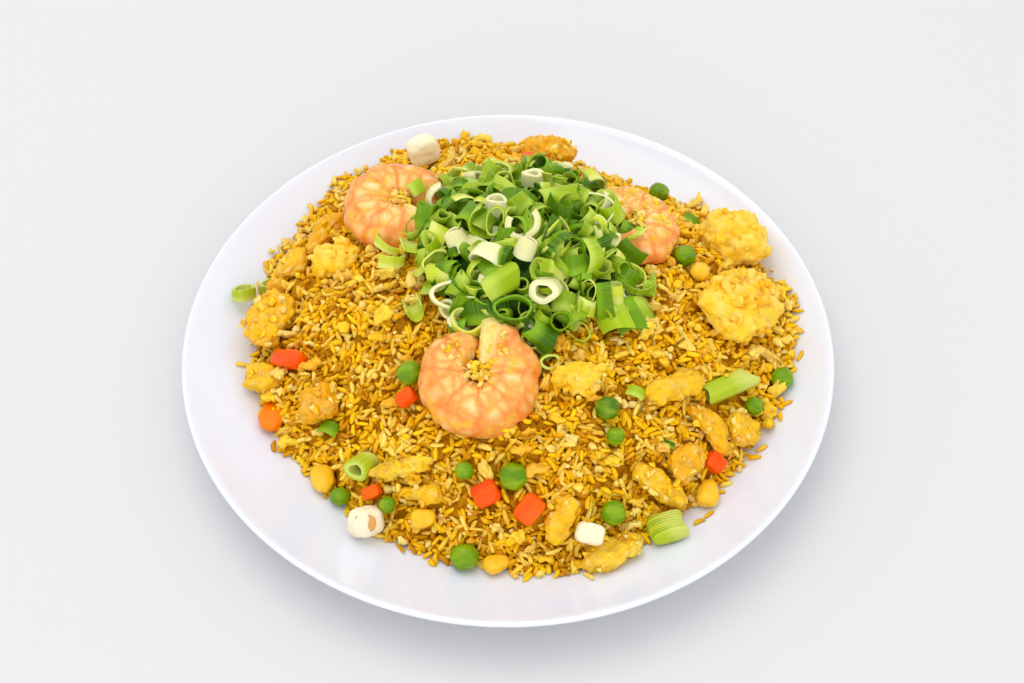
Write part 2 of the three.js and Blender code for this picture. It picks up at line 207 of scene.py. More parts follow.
def plate_top(r):
    rise = np.clip((r - PLATE["well_radius"]) / (PLATE["radius"] - PLATE["well_radius"]), 0, 1)
    return PLATE["well_top"] + PLATE["rim_rise"] * rise**2


def node_tree(*nodes):
    points = []
    triangles = []
    for node in nodes:
        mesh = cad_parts[node].data
        mesh.calc_loop_triangles()
        first = len(points)
        points += [v.co / MM for v in mesh.vertices]
        triangles += [[i + first for i in t.vertices] for t in mesh.loop_triangles]
    return BVHTree.FromPolygons(points, triangles)


def field_axes():
    side = np.arange(-FIELD_REACH, FIELD_REACH + FIELD_STEP, FIELD_STEP)
    return np.meshgrid(side, side, indexing="ij")


def cast_on(tree, start=RAY_TOP, way=-1):
    """The height at which vertical rays meet the tree, or nan beside it."""
    x, y = field_axes()
    heights = np.full(x.shape, np.nan)
    direction = Vector((0, 0, way))
    for spot in np.ndindex(x.shape):
        hit = tree.ray_cast(Vector((x[spot], y[spot], start)), direction)[0]
        if hit is not None:
            heights[spot] = hit.z
    return heights


def heap_field(nodes, plate, passes):
    """The smoothed outer surface of a heap, with the pits of its toppings filled again."""
    heights = cast_on(node_tree(*nodes))
    inside = ~np.isnan(heights)
    filled = np.where(inside, heights, plate)
    for _ in range(40):
        filled = np.where(inside, np.maximum(filled, blurred(filled, 3) - 0.05), plate)
    return blurred(filled, passes), inside


# ---------------------------------------------------------------- settling loose things

HALF_NEIGHBOURS = [
    (a, b, c) for a in (-1, 0, 1) for b in (-1, 0, 1) for c in (-1, 0, 1) if (a, b, c) >= (0, 0, 0)
]


def near_pairs(points, reach):
    """Index pairs of points that lie in the same or in neighbouring cells of the given size."""
    cells = np.floor((points - points.min(axis=0)) / reach).astype(np.int64) + 1
    span = cells.max(axis=0) + 2
    strides = np.array([span[1] * span[2], span[2], 1])
    keys = cells @ strides
    order = np.argsort(keys, kind="stable")
    ordered = keys[order]
    first_parts = []
    second_parts = []
    for step in HALF_NEIGHBOURS:
        wanted = ordered + np.dot(step, strides)
        start = np.searchsorted(ordered, wanted, side="left")
        end = np.searchsorted(ordered, wanted, side="right")
        if step == (0, 0, 0):
            start = np.arange(len(ordered)) + 1
        counts = np.maximum(end - start, 0)
        first = np.repeat(np.arange(len(ordered)), counts)
        offsets = np.arange(counts.sum()) - np.repeat(np.cumsum(counts) - counts, counts)
        first_parts.append(order[first])
        second_parts.append(order[np.repeat(start, counts) + offsets])
    return np.concatenate(first_parts), np.concatenate(second_parts)


def near_balls(points, radius, owner):
    """Index pairs of balls of different owners that nearly touch."""
    a, b = near_pairs(points, 2 * radius.max() + PAIR_SLACK / 2)
    keep = owner[a] != owner[b]
    a, b = a[keep], b[keep]
    near = np.linalg.norm(points[a] - points[b], axis=1) < radius[a] + radius[b] + PAIR_SLACK
    return a[near], b[near]


def pushes(points, radius, a, b):
    """How far each ball is moved by those that it overlaps."""
    gap = points[a] - points[b]
    distance = np.maximum(np.linalg.norm(gap, axis=1), 1e-6)
    overlap = radius[a] + radius[b] - distance
    hit = overlap > 0
    a, b = a[hit], b[hit]
    move = gap[hit] * (0.5 * overlap[hit] / distance[hit])[:, None]
    push = np.zeros(points.shape)
    for axis in range(3):
        push[:, axis] = np.bincount(a, move[:, axis], len(points))
        push[:, axis] -= np.bincount(b, move[:, axis], len(points))
    touches = np.bincount(a, minlength=len(points)) + np.bincount(b, minlength=len(points))
    return push * (CROWDED / np.maximum(touches, CROWDED))[:, None]


def refitted(points, shapes):
    """The centres and turns at which rigid clusters come nearest to their moved balls."""
    centres = points.mean(axis=1)
    spread = np.einsum("nki,nkj->nij", points - centres[:, None], shapes)
    u, _, v = np.linalg.svd(spread)
    u[:, :, 2] *= np.linalg.det(u @ v)[:, None]
    return centres, u @ v


def settle(centres, turns, shapes, radii, floor, outer, pull, fixed):
    """Pushes rigid clusters of balls apart and down until they rest on each other and the floor.

    shapes holds each cluster's balls about its centre, radii one ball radius for each cluster,
    and fixed rows of x, y, z and radius for balls that do not move. pull draws things in against
    the normal of the outer surface, less and less as the rounds go by.
    """
    count, balls = shapes.shape[:2]
    moving = count * balls
    owner = np.concatenate([np.repeat(np.arange(count), balls), np.full(len(fixed), -1)])
    radius = np.concatenate([np.repeat(radii, balls), fixed[:, 3]])
    for step in range(SETTLE_ROUNDS):
        points = (centres[:, None] + np.einsum("nij,nkj->nki", turns, shapes)).reshape(-1, 3)
        every = np.concatenate([points, fixed[:, :3]])
        if step % PAIR_ROUNDS == 0:
            a, b = near_balls(every, radius, owner)
        points = points + pushes(every, radius, a, b)[:moving]
        points -= pull * outer.normal(points[:, 0], points[:, 1]) * (1 - step / SETTLE_ROUNDS)
        normal = floor.normal(points[:, 0], points[:, 1])
        above = (points[:, 2] - floor.height(points[:, 0], points[:, 1])) * normal[:, 2]
        points += np.maximum(radius[:moving] - above, 0)[:, None] * normal
        centres, turns = refitted(points.reshape(count, balls, 3), shapes)
    return centres, turns


# ---------------------------------------------------------------- meshes of single things
# A shape is (points, triangles, corners), where corners places each triangle corner in the unit
# square that colours its material.


def grid_shape(rings, wrap_rows=False, wrap_columns=True):
    """A skin over rows of points. Unless the rows close, each end is a fan about its row's middle."""
    rows, columns = rings.shape[:2]
    row_steps = rows if wrap_rows else rows - 1
    column_steps = columns if wrap_columns else columns - 1
    i, j = (g.ravel() for g in np.meshgrid(np.arange(row_steps), np.arange(column_steps), indexing="ij"))

    def index(di, dj):
        return (i + di) % rows * columns + (j + dj) % columns

    def place(di, dj):
        return np.stack([(j + dj) / column_steps, (i + di) / row_steps], axis=-1)

    quad = [(0, 0), (0, 1), (1, 1), (1, 0)]
    triangles = [np.stack([index(*quad[k]) for k in pick], axis=-1) for pick in ((0, 1, 2), (0, 2, 3))]
    corners = [np.stack([place(*quad[k]) for k in pick], axis=1) for pick in ((0, 1, 2), (0, 2, 3))]
    points = rings.reshape(-1, 3)
    if not wrap_rows:
        around = np.arange(columns)
        after = (around + 1) % columns
        pole = len(points)
        points = np.concatenate([points, rings[0].mean(axis=0)[None], rings[-1].mean(axis=0)[None]])
        last = (rows - 1) * columns
        triangles.append(np.stack([np.full(columns, pole), after, around], axis=-1))
        triangles.append(np.stack([np.full(columns, pole + 1), last + around, last + after], axis=-1))
        for v, order in ((0.0, (0.5, 1, 0)), (1.0, (0.5, 0, 1))):
            level = np.full(columns, v)
            cap = [np.stack([(around + k) / columns, level], axis=-1) for k in order]
            corners.append(np.stack(cap, axis=1))
    return points, np.concatenate(triangles), np.concatenate(corners)


def ball_corners(points, triangles):
    """Corners for a ball: the left of the square colours its upper half, the right its lower."""
    middle = points[triangles].mean(axis=1)
    upper = middle[:, 2] >= 0
    flat = points[:, :2] / (1 + np.abs(points[:, 2:]))
    corners = flat[triangles] * 0.24 * np.array([1, 2]) + np.array([0.25, 0.5])
    corners[~upper, :, 0] += 0.5
    return corners


BALLS = {}


def blob(half, power, subdivisions, rough, seed=0):
    """A lumpy solid of the given half sizes, from an ellipsoid (power 2) to a box (high power).

    rough lists (lump size, height) pairs.
    """
    if subdivisions not in BALLS:
        BALLS[subdivisions] = ball(subdivisions)
    unit_points, triangles = BALLS[subdivisions]
    corners = ball_corners(unit_points, triangles)
    reach = (np.abs(unit_points) ** power).sum(axis=1) ** (-1 / power)
    points = unit_points * reach[:, None] * np.asarray(half)
    outward = unit(unit_points / np.asarray(half))
    for number, (size, height) in enumerate(rough):
        points = points + outward * (height * lumps(points, size, seed + 17 * number))[:, None]
    return points, triangles, corners


def leaf(radius, wall, height, arc=360, squash=1.0, taper=0.0, curl=0.0, seed=0, rows=20):
    """A slice of a hollow leaf: a ring, a tube, an open arc or a strip, with its axis along Z."""
    whole = arc >= 360
    angles = np.radians(np.linspace(-arc / 2, arc / 2, rows, endpoint=not whole))
    section = [(0, -1), (0.12, 0), (0, 1), (-0.5, 1.08), (-1, 1), (-1.12, 0), (-1, -1), (-0.5, -1.08)]
    draw = np.random.default_rng(seed)
    waves = [(k, draw.uniform(0, 6.28), draw.uniform(0.04, 0.16) * radius / k) for k in (2, 3, 5)]
    rings = np.zeros((rows, len(section), 3))
    for j, (across, up) in enumerate(section):
        wobble = sum(size * np.cos(k * angles + phase) for k, phase, size in waves)
        r = radius + across * wall + wobble + taper * up * radius + curl * radius * angles
        rise = up * height / 2 * (1 + 0.12 * np.cos(2 * angles + waves[0][1]))
        lean = 0.06 * height * np.cos(angles + waves[1][1])
        rings[:, j] = np.stack([r * np.cos(angles), r * np.sin(angles) * squash, rise + lean], axis=-1)
    if not whole:
        rings[..., 0] -= radius * (1 + math.cos(math.radians(arc / 2))) / 2
    return grid_shape(rings[:, ::-1], wrap_rows=whole)


def grain(length, width, thickness, bend, blunt_start, blunt_end, seed):
    """One grain of rice along X."""
    stations = np.array([0.0, 0.17, 0.38, 0.62, 0.83, 1.0]) * 0.94 + 0.03
    angles = np.arange(6) / 6 * 2 * math.pi
    draw = np.random.default_rng(seed)
    rings = np.zeros((len(stations), len(angles), 3))
    for i, t in enumerate(stations):
        along = 2 * t - 1
        girth = (1 - abs(along) ** 2.8) ** 0.5
        girth = max(girth, 0.72 * blunt_end) if along > 0.8 else girth
        girth = max(girth, 0.72 * blunt_start) if along < -0.8 else girth
        girth *= draw.uniform(0.9, 1.08)
        rings[i, :, 0] = along * length / 2
        rings[i, :, 1] = girth * width / 2 * np.cos(angles) + bend * (0.4 - along**2)
        rings[i, :, 2] = girth * thickness / 2 * np.sin(angles)
    return grid_shape(rings)


def placed(shape, turn, place, cell, cells):
    """A shape turned, moved and coloured by one cell of the square."""
    points, triangles, corners = shape
    column, row = cell % cells, cell // cells % cells
    inner = (corners * 0.9 + 0.05 + np.array([column, row])) / cells
    return points @ np.asarray(turn).T + place, triangles, inner


def stamped(shape, sizes, turns, places, cell, cells):
    """Many copies of one shape as a single one. sizes, turns, places and cell have a row a copy."""
    points, triangles, corners = shape
    count = len(places)
    local = points[None] * sizes[:, None]
    world = np.einsum("nij,nkj->nki", turns, local) + places[:, None]
    index = triangles[None] + (np.arange(count) * len(points))[:, None, None]
    origin = np.stack([cell % cells, cell // cells % cells], axis=-1)[:, None, None]
    inner = (corners[None] * 0.9 + 0.05 + origin) / cells
    return world.reshape(-1, 3), index.reshape(-1, 3), inner.reshape(-1, 3, 2)


def gathered(shapes):
    """Joins shapes into one."""
    firsts = np.cumsum([0] + [len(s[0]) for s in shapes[:-1]])
    return (
        np.concatenate([s[0] for s in shapes]),
        np.concatenate([s[1] + first for s, first in zip(shapes, firsts)]),
        np.concatenate([s[2] for s in shapes]),
    )


def random_turns(count):
    """Evenly spread random rotations."""
    return frames(random.normal(size=(count, 3)), random.normal(size=(count, 3)))


# ---------------------------------------------------------------- materials


class Look:
    """A Principled material whose colour is built up from the square that OFBake maps."""

    def __init__(self, name, roughness, coat=0.0, subsurface=0.0, cells=1, shine=0.5):
        self.material = bpy.data.materials.new(name)
        self.material.use_nodes = True
        self.nodes = self.material.node_tree.nodes
        self.links = self.material.node_tree.links
        self.shader = self.nodes["Principled BSDF"]
        self.shader.inputs["Roughness"].default_value = roughness
        self.shader.inputs["Specular IOR Level"].default_value = shine
        self.shader.inputs["Coat Weight"].default_value = coat
        self.shader.inputs["Coat Roughness"].default_value = 0.12
        self.shader.inputs["Subsurface Weight"].default_value = subsurface
        self.shader.inputs["Subsurface Radius"].default_value = (1.0, 0.5, 0.2)
        self.shader.inputs["Subsurface Scale"].default_value = 2 * MM
        square = self.nodes.new("ShaderNodeUVMap")
        square.uv_map = "OFBake"
        scaled = self.vector("MULTIPLY", square.outputs["UV"], (cells, cells, cells))
        self.place = scaled
        self.cells = cells
        self.cell = self.vector("FLOOR", scaled)
        inner = self.nodes.new("ShaderNodeSeparateXYZ")
        self.join(self.vector("FRACTION", scaled), inner.inputs[0])
        self.u, self.v = inner.outputs["X"], inner.outputs["Y"]

    def join(self, source, target):
        if hasattr(source, "is_linked"):
            self.links.new(source, target)
        elif isinstance(source, str):
            target.default_value = linear(source)
        else:
            target.default_value = source

    def vector(self, operation, first, second=None):
        node = self.nodes.new("ShaderNodeVectorMath")
        node.operation = operation
        self.join(first, node.inputs[0])
        if second is not None:
            self.join(second, node.inputs[1])
        return node.outputs["Vector"]

    def value(self, operation, first, second=0.0):
        node = self.nodes.new("ShaderNodeMath")
        node.operation = operation
        self.join(first, node.inputs[0])
        self.join(second, node.inputs[1])
        return node.outputs[0]

    def draw(self, shift=0.0):
        """A number of 0 to 1 that differs from cell to cell."""
        node = self.nodes.new("ShaderNodeTexWhiteNoise")
        self.join(self.vector("ADD", self.cell, (shift, shift, shift)), node.inputs["Vector"])
        return node.outputs["Value"]

    def in_last_cell(self):
        """1 in the last cell of the square, where a piece of its own colour lies, and 0 elsewhere."""
        spot = self.nodes.new("ShaderNodeSeparateXYZ")
        self.join(self.cell, spot.inputs[0])
        across, up = (self.value("GREATER_THAN", spot.outputs[k], self.cells - 1.5) for k in ("X", "Y"))
        return self.value("MULTIPLY", across, up)

    def ramp(self, factor, *stops):
        """Colours or greys along a factor: stops are (position, hex colour or grey)."""
        node = self.nodes.new("ShaderNodeValToRGB")
        elements = node.color_ramp.elements
        while len(elements) < len(stops):
            elements.new(0.5)
        for element, (position, colour) in zip(elements, stops):
            element.position = position
            element.color = linear(colour) if isinstance(colour, str) else (colour, colour, colour, 1)
        self.join(factor, node.inputs["Fac"])
        return node.outputs["Color"]

    def palette(self, factor, colours):
        return self.ramp(factor, *[(k / max(len(colours) - 1, 1), c) for k, c in enumerate(colours)])

    def patches(self, size, detail=2.0, low=0.4, high=0.6, where=None, stretch=None):
        """Soft-edged patches of 0 to 1. size is in cells where they lie on the square."""
        node = self.nodes.new("ShaderNodeTexNoise")
        node.inputs["Scale"].default_value = 1 / size
        node.inputs["Detail"].default_value = detail
        source = self.place if where is None else where
        if stretch is not None:
            source = self.vector("MULTIPLY", source, stretch)
        self.join(source, node.inputs["Vector"])
        return self.ramp(node.outputs["Fac"], (low, 0.0), (high, 1.0))

    def cell_edges(self, size, where):
        """How far a place is from the border between two rounded cells, in cells."""
        node = self.nodes.new("ShaderNodeTexVoronoi")
        node.feature = "DISTANCE_TO_EDGE"
        node.inputs["Scale"].default_value = 1 / size
        self.join(where, node.inputs["Vector"])
        return node.outputs["Distance"]

    def mix(self, factor, first, second, mode="MIX"):
        node = self.nodes.new("ShaderNodeMix")
        node.data_type = "RGBA"
        node.blend_type = mode
        self.join(factor, node.inputs["Factor"])
        self.join(first, node.inputs[6])
        self.join(second, node.inputs[7])
        return node.outputs[2]

    def layer(self, patches, share, below, above):
        """A colour laid over another one where there are patches, at most by the share."""
        return self.mix(self.value("MULTIPLY", patches, share), below, above)

    def object_place(self):
        """Millimetres in the object's own space."""
        node = self.nodes.new("ShaderNodeTexCoord")
        return self.vector("MULTIPLY", node.outputs["Object"], (1000, 1000, 1000))

    def bump(self, size, height):
        """Fine lumps in the shading only. Both lengths are in millimetres."""
        noise_node = self.nodes.new("ShaderNodeTexNoise")
        noise_node.inputs["Scale"].default_value = 1 / size
        noise_node.inputs["Detail"].default_value = 3.0
        self.join(self.object_place(), noise_node.inputs["Vector"])
        node = self.nodes.new("ShaderNodeBump")
        node.inputs["Distance"].default_value = height * MM
        self.join(noise_node.outputs["Fac"], node.inputs["Height"])
        self.join(node.outputs["Normal"], self.shader.inputs["Normal"])

    def finish(self, colour):
        self.join(colour, self.shader.inputs["Base Color"])
        return self.material


def rice_look(name, colours):
    look = Look(name, 0.36, coat=0.02, subsurface=0.12, cells=RICE_CELLS, shine=0.12)
    colour = look.palette(look.draw(), colours)
    tips = look.ramp(look.v, (0.0, 0.85), (0.16, 1.0), (0.8, 1.0), (1.0, 0.88))
    colour = look.mix(0.8, colour, tips, "MULTIPLY")
    sauce = look.patches(0.5, low=0.5, high=0.72)
    return look.finish(look.layer(sauce, 0.4, colour, "B87208"))


def crumb_look(name, colours, cells):
    look = Look(name, 0.45, coat=0.02, subsurface=0.15, cells=cells, shine=0.15)
    colour = look.palette(look.draw(), colours)
    spots = look.patches(0.35, low=0.45, high=0.7)
    return look.finish(look.layer(spots, 0.4, colour, "D28A06"))


def core_look():
    # painted shade: the core is a darker orange-brown than the grains, so the gaps where it shows through
    # look shaded beyond their real shadow
    look = Look("rice_core", 0.6, shine=0.08)
    where = look.object_place()
    gaps = look.patches(5.0, detail=4.0, low=0.35, high=0.65, where=where)
    look.bump(1.6, 1.0)
    return look.finish(look.mix(gaps, "B07004", "D8980A"))


def leaf_core_look():
    look = Look("scallion_core", 0.5, shine=0.1)
    where = look.object_place()
    gaps = look.patches(6.0, detail=4.0, low=0.4, high=0.6, where=where)
    return look.finish(look.mix(gaps, "14330A", "3F6A14"))


def leaf_look(name, outside, inside, cut, cells):
    """A leaf slice: u runs over the outer wall, the upper cut, the inner wall and the lower cut."""
    look = Look(name, 0.28, coat=0.05, subsurface=0.08, cells=cells, shine=0.16)
    draw = look.draw()
    outer = look.palette(draw, outside)
    inner = look.palette(draw, inside)
    veins = look.patches(0.03, detail=1.0, low=0.4, high=0.65, stretch=(0.04, 1.0, 1.0))
    outer = look.layer(veins, 0.25, outer, cut)
    inner = look.layer(veins, 0.25, inner, cut)
    is_inner = look.ramp(look.u, (0.0, 0.0), (0.27, 0.0), (0.33, 1.0), (0.95, 1.0), (1.0, 0.0))
    is_cut = look.ramp(look.u, (0.22, 0.0), (0.3, 0.8), (0.47, 0.8), (0.55, 0.0), (0.72, 0.0), (0.8, 0.8))
    colour = look.mix(is_inner, outer, inner)
    return look.finish(look.layer(is_cut, 0.75, colour, cut))


FOOD_LOOKS = {
    # surface: roughness, coat, subsurface, shine
    # layers of patches: the space they lie in, size, detail, low and high edge, share, colour
    # last: the colour of the last cell, which only one piece uses
    "pale_scallion": {
        "surface": (0.3, 0.05, 0.15, 0.15),
        "colours": ("F5E9C0", "FAF1D4", "F0E1A6"),
        "layers": [("square", 0.35, 2.0, 0.45, 0.7, 0.35, "E9CFA0")],
        "last": "DDA257",
    },
    "pea": {
        "surface": (0.24, 0.14, 0.06, 0.18),
        "colours": ("568200", "6E9800", "446E00"),
        "layers": [("square", 0.22, 2.0, 0.42, 0.7, 0.5, "B0C614")],
        "bump": (2.2, 0.5),
    },
    "carrot": {
        "surface": (0.3, 0.08, 0.08, 0.15),
        "draw": 3.0,
        "colours": ("F84A00", "FA6600", "F64000"),
        "layers": [("square", 0.3, 2.0, 0.4, 0.7, 0.45, "FB7A0A")],
        "bump": (1.5, 0.25),
        "last": "FA8208",
    },
    "corn": {
        "surface": (0.28, 0.2, 0.2, 0.2),
        "colours": ("F5B40E", "F9C423", "F0A812"),
        "layers": [("square", 0.4, 2.0, 0.45, 0.7, 0.5, "FBD64A")],
        "bump": (3.0, 0.4),
    },
    "chicken": {
        "surface": (0.38, 0.04, 0.12, 0.16),
        "colours": ("F6B80A", "FAC820", "EEAA06", "FCD234"),
        "layers": [
            ("object", 6.0, 4.0, 0.48, 0.7, 0.5, "D08A06"),
            ("object", 3.0, 4.0, 0.5, 0.7, 0.5, "FADC84"),
            ("object", 1.8, 3.0, 0.55, 0.72, 0.35, "C88208"),
        ],
        "bump": (1.4, 0.7),
    },
    "egg": {
        "surface": (0.38, 0.03, 0.15, 0.15),
        "colours": ("FFC20A", "FFD030", "F8B204"),
        "layers": [
            ("object", 5.0, 4.0, 0.42, 0.62, 0.6, "FFE478"),
            ("object", 4.0, 4.0, 0.56, 0.72, 0.4, "EC9E04"),
        ],
        "bump": (1.8, 0.7),
    },
}


def food_look(name):
    """A food whose colour differs from piece to piece, under layers of soft patches."""
    spec = FOOD_LOOKS[name]
    roughness, coat, subsurface, shine = spec["surface"]
    look = Look(name, roughness, coat, subsurface, 4, shine)
    spaces = {"square": look.place, "object": look.object_place()}
    colour = look.palette(look.draw(spec.get("draw", 0.0)), spec["colours"])
    for space, size, detail, low, high, share, above in spec["layers"]:
        patches = look.patches(size, detail, low, high, where=spaces[space])
        colour = look.layer(patches, share, colour, above)
    if "bump" in spec:
        look.bump(*spec["bump"])
    if "last" in spec:
        colour = look.mix(look.in_last_cell(), colour, spec["last"])
    return look.finish(colour)


def shrimp_look(name):
    """Pale flesh with orange where two segments meet and on the outer side of the curl, and a painted
    highlight of pale cream in the middle of each rounded cell.
    """
    look = Look(name, 0.25, coat=0.12, subsurface=0.2, cells=1, shine=0.2)
    where = look.object_place()
    wave = look.value("MULTIPLY", look.v, SHRIMP["ribs"] * math.pi)
    wobble = look.patches(4.0, detail=3.0, low=0.2, high=0.8, where=where)
    wave = look.value("ADD", wave, look.value("MULTIPLY", wobble, 0.9))
    seam = look.value("POWER", look.value("ABSOLUTE", look.value("COSINE", wave)), 14.0)
    patch = look.patches(7.0, detail=3.0, low=0.42, high=0.66, where=where)
    flesh = look.layer(patch, 0.55, "FCD078", "F4A048")
    border = look.cell_edges(6.5, where)
    edge = look.ramp(border, (0.0, 1.0), (0.09, 0.5), (0.2, 0.0))
    flesh = look.layer(edge, 0.65, flesh, "F08C3A")
    # painted highlight: the middle of each rounded cell is made paler cream
    middle = look.ramp(border, (0.2, 0.0), (0.42, 1.0))
    flesh = look.layer(middle, 0.8, flesh, "FFE2A8")
    outer = look.ramp(look.u, (0.0, 0.9), (0.13, 0.45), (0.28, 0.0), (0.72, 0.0), (0.87, 0.45), (1.0, 0.9))
    flesh = look.layer(outer, 0.5, flesh, "F0842C")
    rim = look.ramp(look.u, (0.1, 0.0), (0.15, 1.0), (0.2, 0.0), (0.8, 0.0), (0.85, 1.0), (0.9, 0.0))
    seam = look.value("MAXIMUM", seam, look.value("MULTIPLY", rim, 0.7))
    flesh = look.layer(seam, 0.55, flesh, "EA6C14")
    head = look.ramp(look.v, (0.0, 1.0), (0.05, 0.8), (0.09, 0.0))
    flesh = look.mix(head, flesh, "F8E08C")
    stain = look.patches(5.0, detail=2.0, low=0.56, high=0.7, where=where)
    look.bump(2.2, 0.7)
    return look.finish(look.layer(stain, 0.7, flesh, "F6BE20"))


def porcelain_look():
    look = Look("porcelain", 0.14, coat=0.5)
    where = look.object_place()
    cloud = look.patches(60.0, detail=2.0, low=0.3, high=0.7, where=where)
    return look.finish(look.mix(cloud, "E9EDF9", "E6EAF7"))


def new_piece(name, shape, material, replaces, crease=None):
    """A mesh object in place of CAD nodes, which rides on the root body. shape is in millimetres."""
    points, triangles, corners = shape
    triangles = np.ascontiguousarray(triangles, dtype=np.int32)
    mesh = bpy.data.meshes.new(name)
    mesh.vertices.add(len(points))
    mesh.vertices.foreach_set("co", (np.asarray(points) * MM).astype(np.float32).ravel())
    mesh.loops.add(triangles.size)
    mesh.loops.foreach_set("vertex_index", triangles.ravel())
    mesh.polygons.add(len(triangles))
    mesh.polygons.foreach_set("loop_start", np.arange(len(triangles), dtype=np.int32) * 3)
    mesh.update(calc_edges=True)
    layer = mesh.uv_layers.new(name="OFBake")
    layer.data.foreach_set("uv", np.asarray(corners, dtype=np.float32).ravel())
    mesh.polygons.foreach_set("use_smooth", np.ones(len(triangles), dtype=bool))
    if crease is not None:
        mesh.set_sharp_from_angle(angle=math.radians(crease))
    mesh.materials.append(material)
    piece = bpy.data.objects.new(name, mesh)
    bpy.context.scene.collection.objects.link(piece)
    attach(piece, "root")
    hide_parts(*replaces)


# ---------------------------------------------------------------- plate


def plate_shape(segments=160):
    """The plate turned about Z, from the middle of its underside round the lip to its well."""
    p = PLATE
    lip = p["lip_wall"] / 2
    profile = [(0.01, 1.5), (p["foot_inner"] - 6, 1.5), (p["foot_inner"] - p["foot_bevel"], 1.45)]
    profile += [(p["foot_inner"] - 0.3, 0.15), (p["foot_inner"] + 0.3, 0), (p["foot_outer"] - 0.3, 0)]
    profile += [(p["foot_outer"] + 0.3, 0.15)]
    for r in np.linspace(p["foot_outer"] + p["foot_bevel"], p["radius"] - lip, 22):
        share = (r - p["foot_outer"]) / (p["radius"] - p["foot_outer"])
        wall = p["wall"] + (p["lip_wall"] - p["wall"]) * share
        profile.append((r, plate_top(r) - wall))
    middle = (p["radius"] - lip, plate_top(p["radius"] - lip) - lip)
    for angle in np.radians(np.linspace(-65, 80, 9)):
        profile.append((middle[0] + lip * math.cos(angle), middle[1] + lip * math.sin(angle)))
    for r in np.linspace(p["radius"] - lip - 0.4, p["well_radius"] - 4, 26):
        profile.append((r, plate_top(r)))
    profile += [(60, p["well_top"]), (30, p["well_top"]), (0.01, p["well_top"])]
    angles = np.arange(segments) / segments * 2 * math.pi
    r, z = np.array(profile).T
    heights = np.tile(z, (segments, 1))
    rings = np.stack([np.outer(np.cos(angles), r), np.outer(np.sin(angles), r), heights], axis=-1)
    points, triangles, corners = grid_shape(rings, wrap_rows=True, wrap_columns=False)
    flat = points[triangles][..., :2] / (2 * p["radius"])
    upper = points[triangles][..., 2].mean(axis=1) > 2.6
    corners = flat * np.array([0.48, 0.96]) + np.array([0.25, 0.5])
    corners[~upper, :, 0] += 0.5
    return points, triangles, corners


# ---------------------------------------------------------------- what the frame says


def node_points(node):
    return np.array([v.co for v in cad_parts[node].data.vertices]) / MM


def numbered(kind):
    return sorted(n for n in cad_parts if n.startswith(kind + "_") and n[-1].isdigit())


OUTSIDE = 0.15  # how far crumbs on a topping stand off its surface


class Place:
    """The tightest box about a node: its middle, its turn (longest side along X) and half sizes."""

    def __init__(self, node):
        points = node_points(node)
        mean = points.mean(axis=0)
        axes = np.linalg.svd(points - mean)[2]
        local = (points - mean) @ axes.T
        order = np.argsort(local.min(axis=0) - local.max(axis=0))
        axes, local = axes[order], local[:, order]
        low, high = local.min(axis=0), local.max(axis=0)
        self.half = (high - low) / 2
        self.middle = mean + (low + high) / 2 @ axes
        if axes[2, 2] < 0:
            axes[2] *= -1
        axes[1] = np.cross(axes[2], axes[0])
        self.turn = axes.T
        along = local[:, 0] / self.half[0]
        centred = (points - self.middle) @ self.turn
        self.bends = [np.polyfit(along, centred[:, k], 2)[0] for k in (1, 2)]


def surface_spots(nodes, spacing, lowest):
    """Places on the nodes above a share of their height, a little outside their surface."""
    spots = []
    for node in nodes:
        rows = surface_balls([node], spacing, -OUTSIDE)[:, :3]
        points = node_points(node)
        level = points[:, 2].min() + lowest * np.ptp(points[:, 2])
        spots.append(rows[rows[:, 2] > level])
    return np.concatenate(spots)


def surface_balls(nodes, spacing, radius):
    """Rows of x, y, z and radius for balls just under the surface of the nodes."""
    rows = []
    for node in nodes:
        points = node_points(node)
        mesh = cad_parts[node].data
        mesh.calc_loop_triangles()
        a, b, c = (points[[t.vertices[k] for t in mesh.loop_triangles]] for k in range(3))
        cross = np.cross(b - a, c - a)
        area = np.linalg.norm(cross, axis=1) / 2
        wanted = area / spacing**2
        counts = np.floor(wanted + random.random(len(area))).astype(int)
        pick = np.repeat(np.arange(len(area)), counts)
        s, t = random.random((2, len(pick)))
        s, t = np.where(s + t > 1, 1 - s, s), np.where(s + t > 1, 1 - t, t)
        spots = a[pick] + s[:, None] * (b - a)[pick] + t[:, None] * (c - a)[pick]
        spots -= radius * unit(cross[pick])
        rows.append(np.concatenate([spots, np.full((len(spots), 1), radius)], axis=1))
    return np.concatenate(rows)


# ---------------------------------------------------------------- toppings that stand for nodes

BLOB_LOOKS = {
    "pea": {"power": 2.0, "rough": ((3.2, 0.3), (1.4, 0.1)), "swell": 1.02},
    "carrot": {"power": 5.0, "rough": ((4.0, 0.35), (1.5, 0.12)), "swell": 0.98},
    "corn": {"power": 2.5, "rough": ((4.0, 0.4), (1.6, 0.12)), "swell": 1.02},
    "chicken": {"power": 2.8, "rough": ((8.0, 2.2), (3.2, 1.3), (1.3, 0.6)), "swell": 1.04},
    "egg": {"power": 2.3, "rough": ((9.0, 2.6), (4.0, 1.5), (1.6, 0.6)), "swell": 1.06},
}
SHREDDED = ("egg_01", "egg_04", "egg_03")  # these carry scraps of egg all over
ROUND_SLICE = "carrot_02"
FINE_BLOBS = {"egg_01": 5, "egg_02": 5, "egg_04": 5, "chicken_04": 5, "chicken_01": 5}


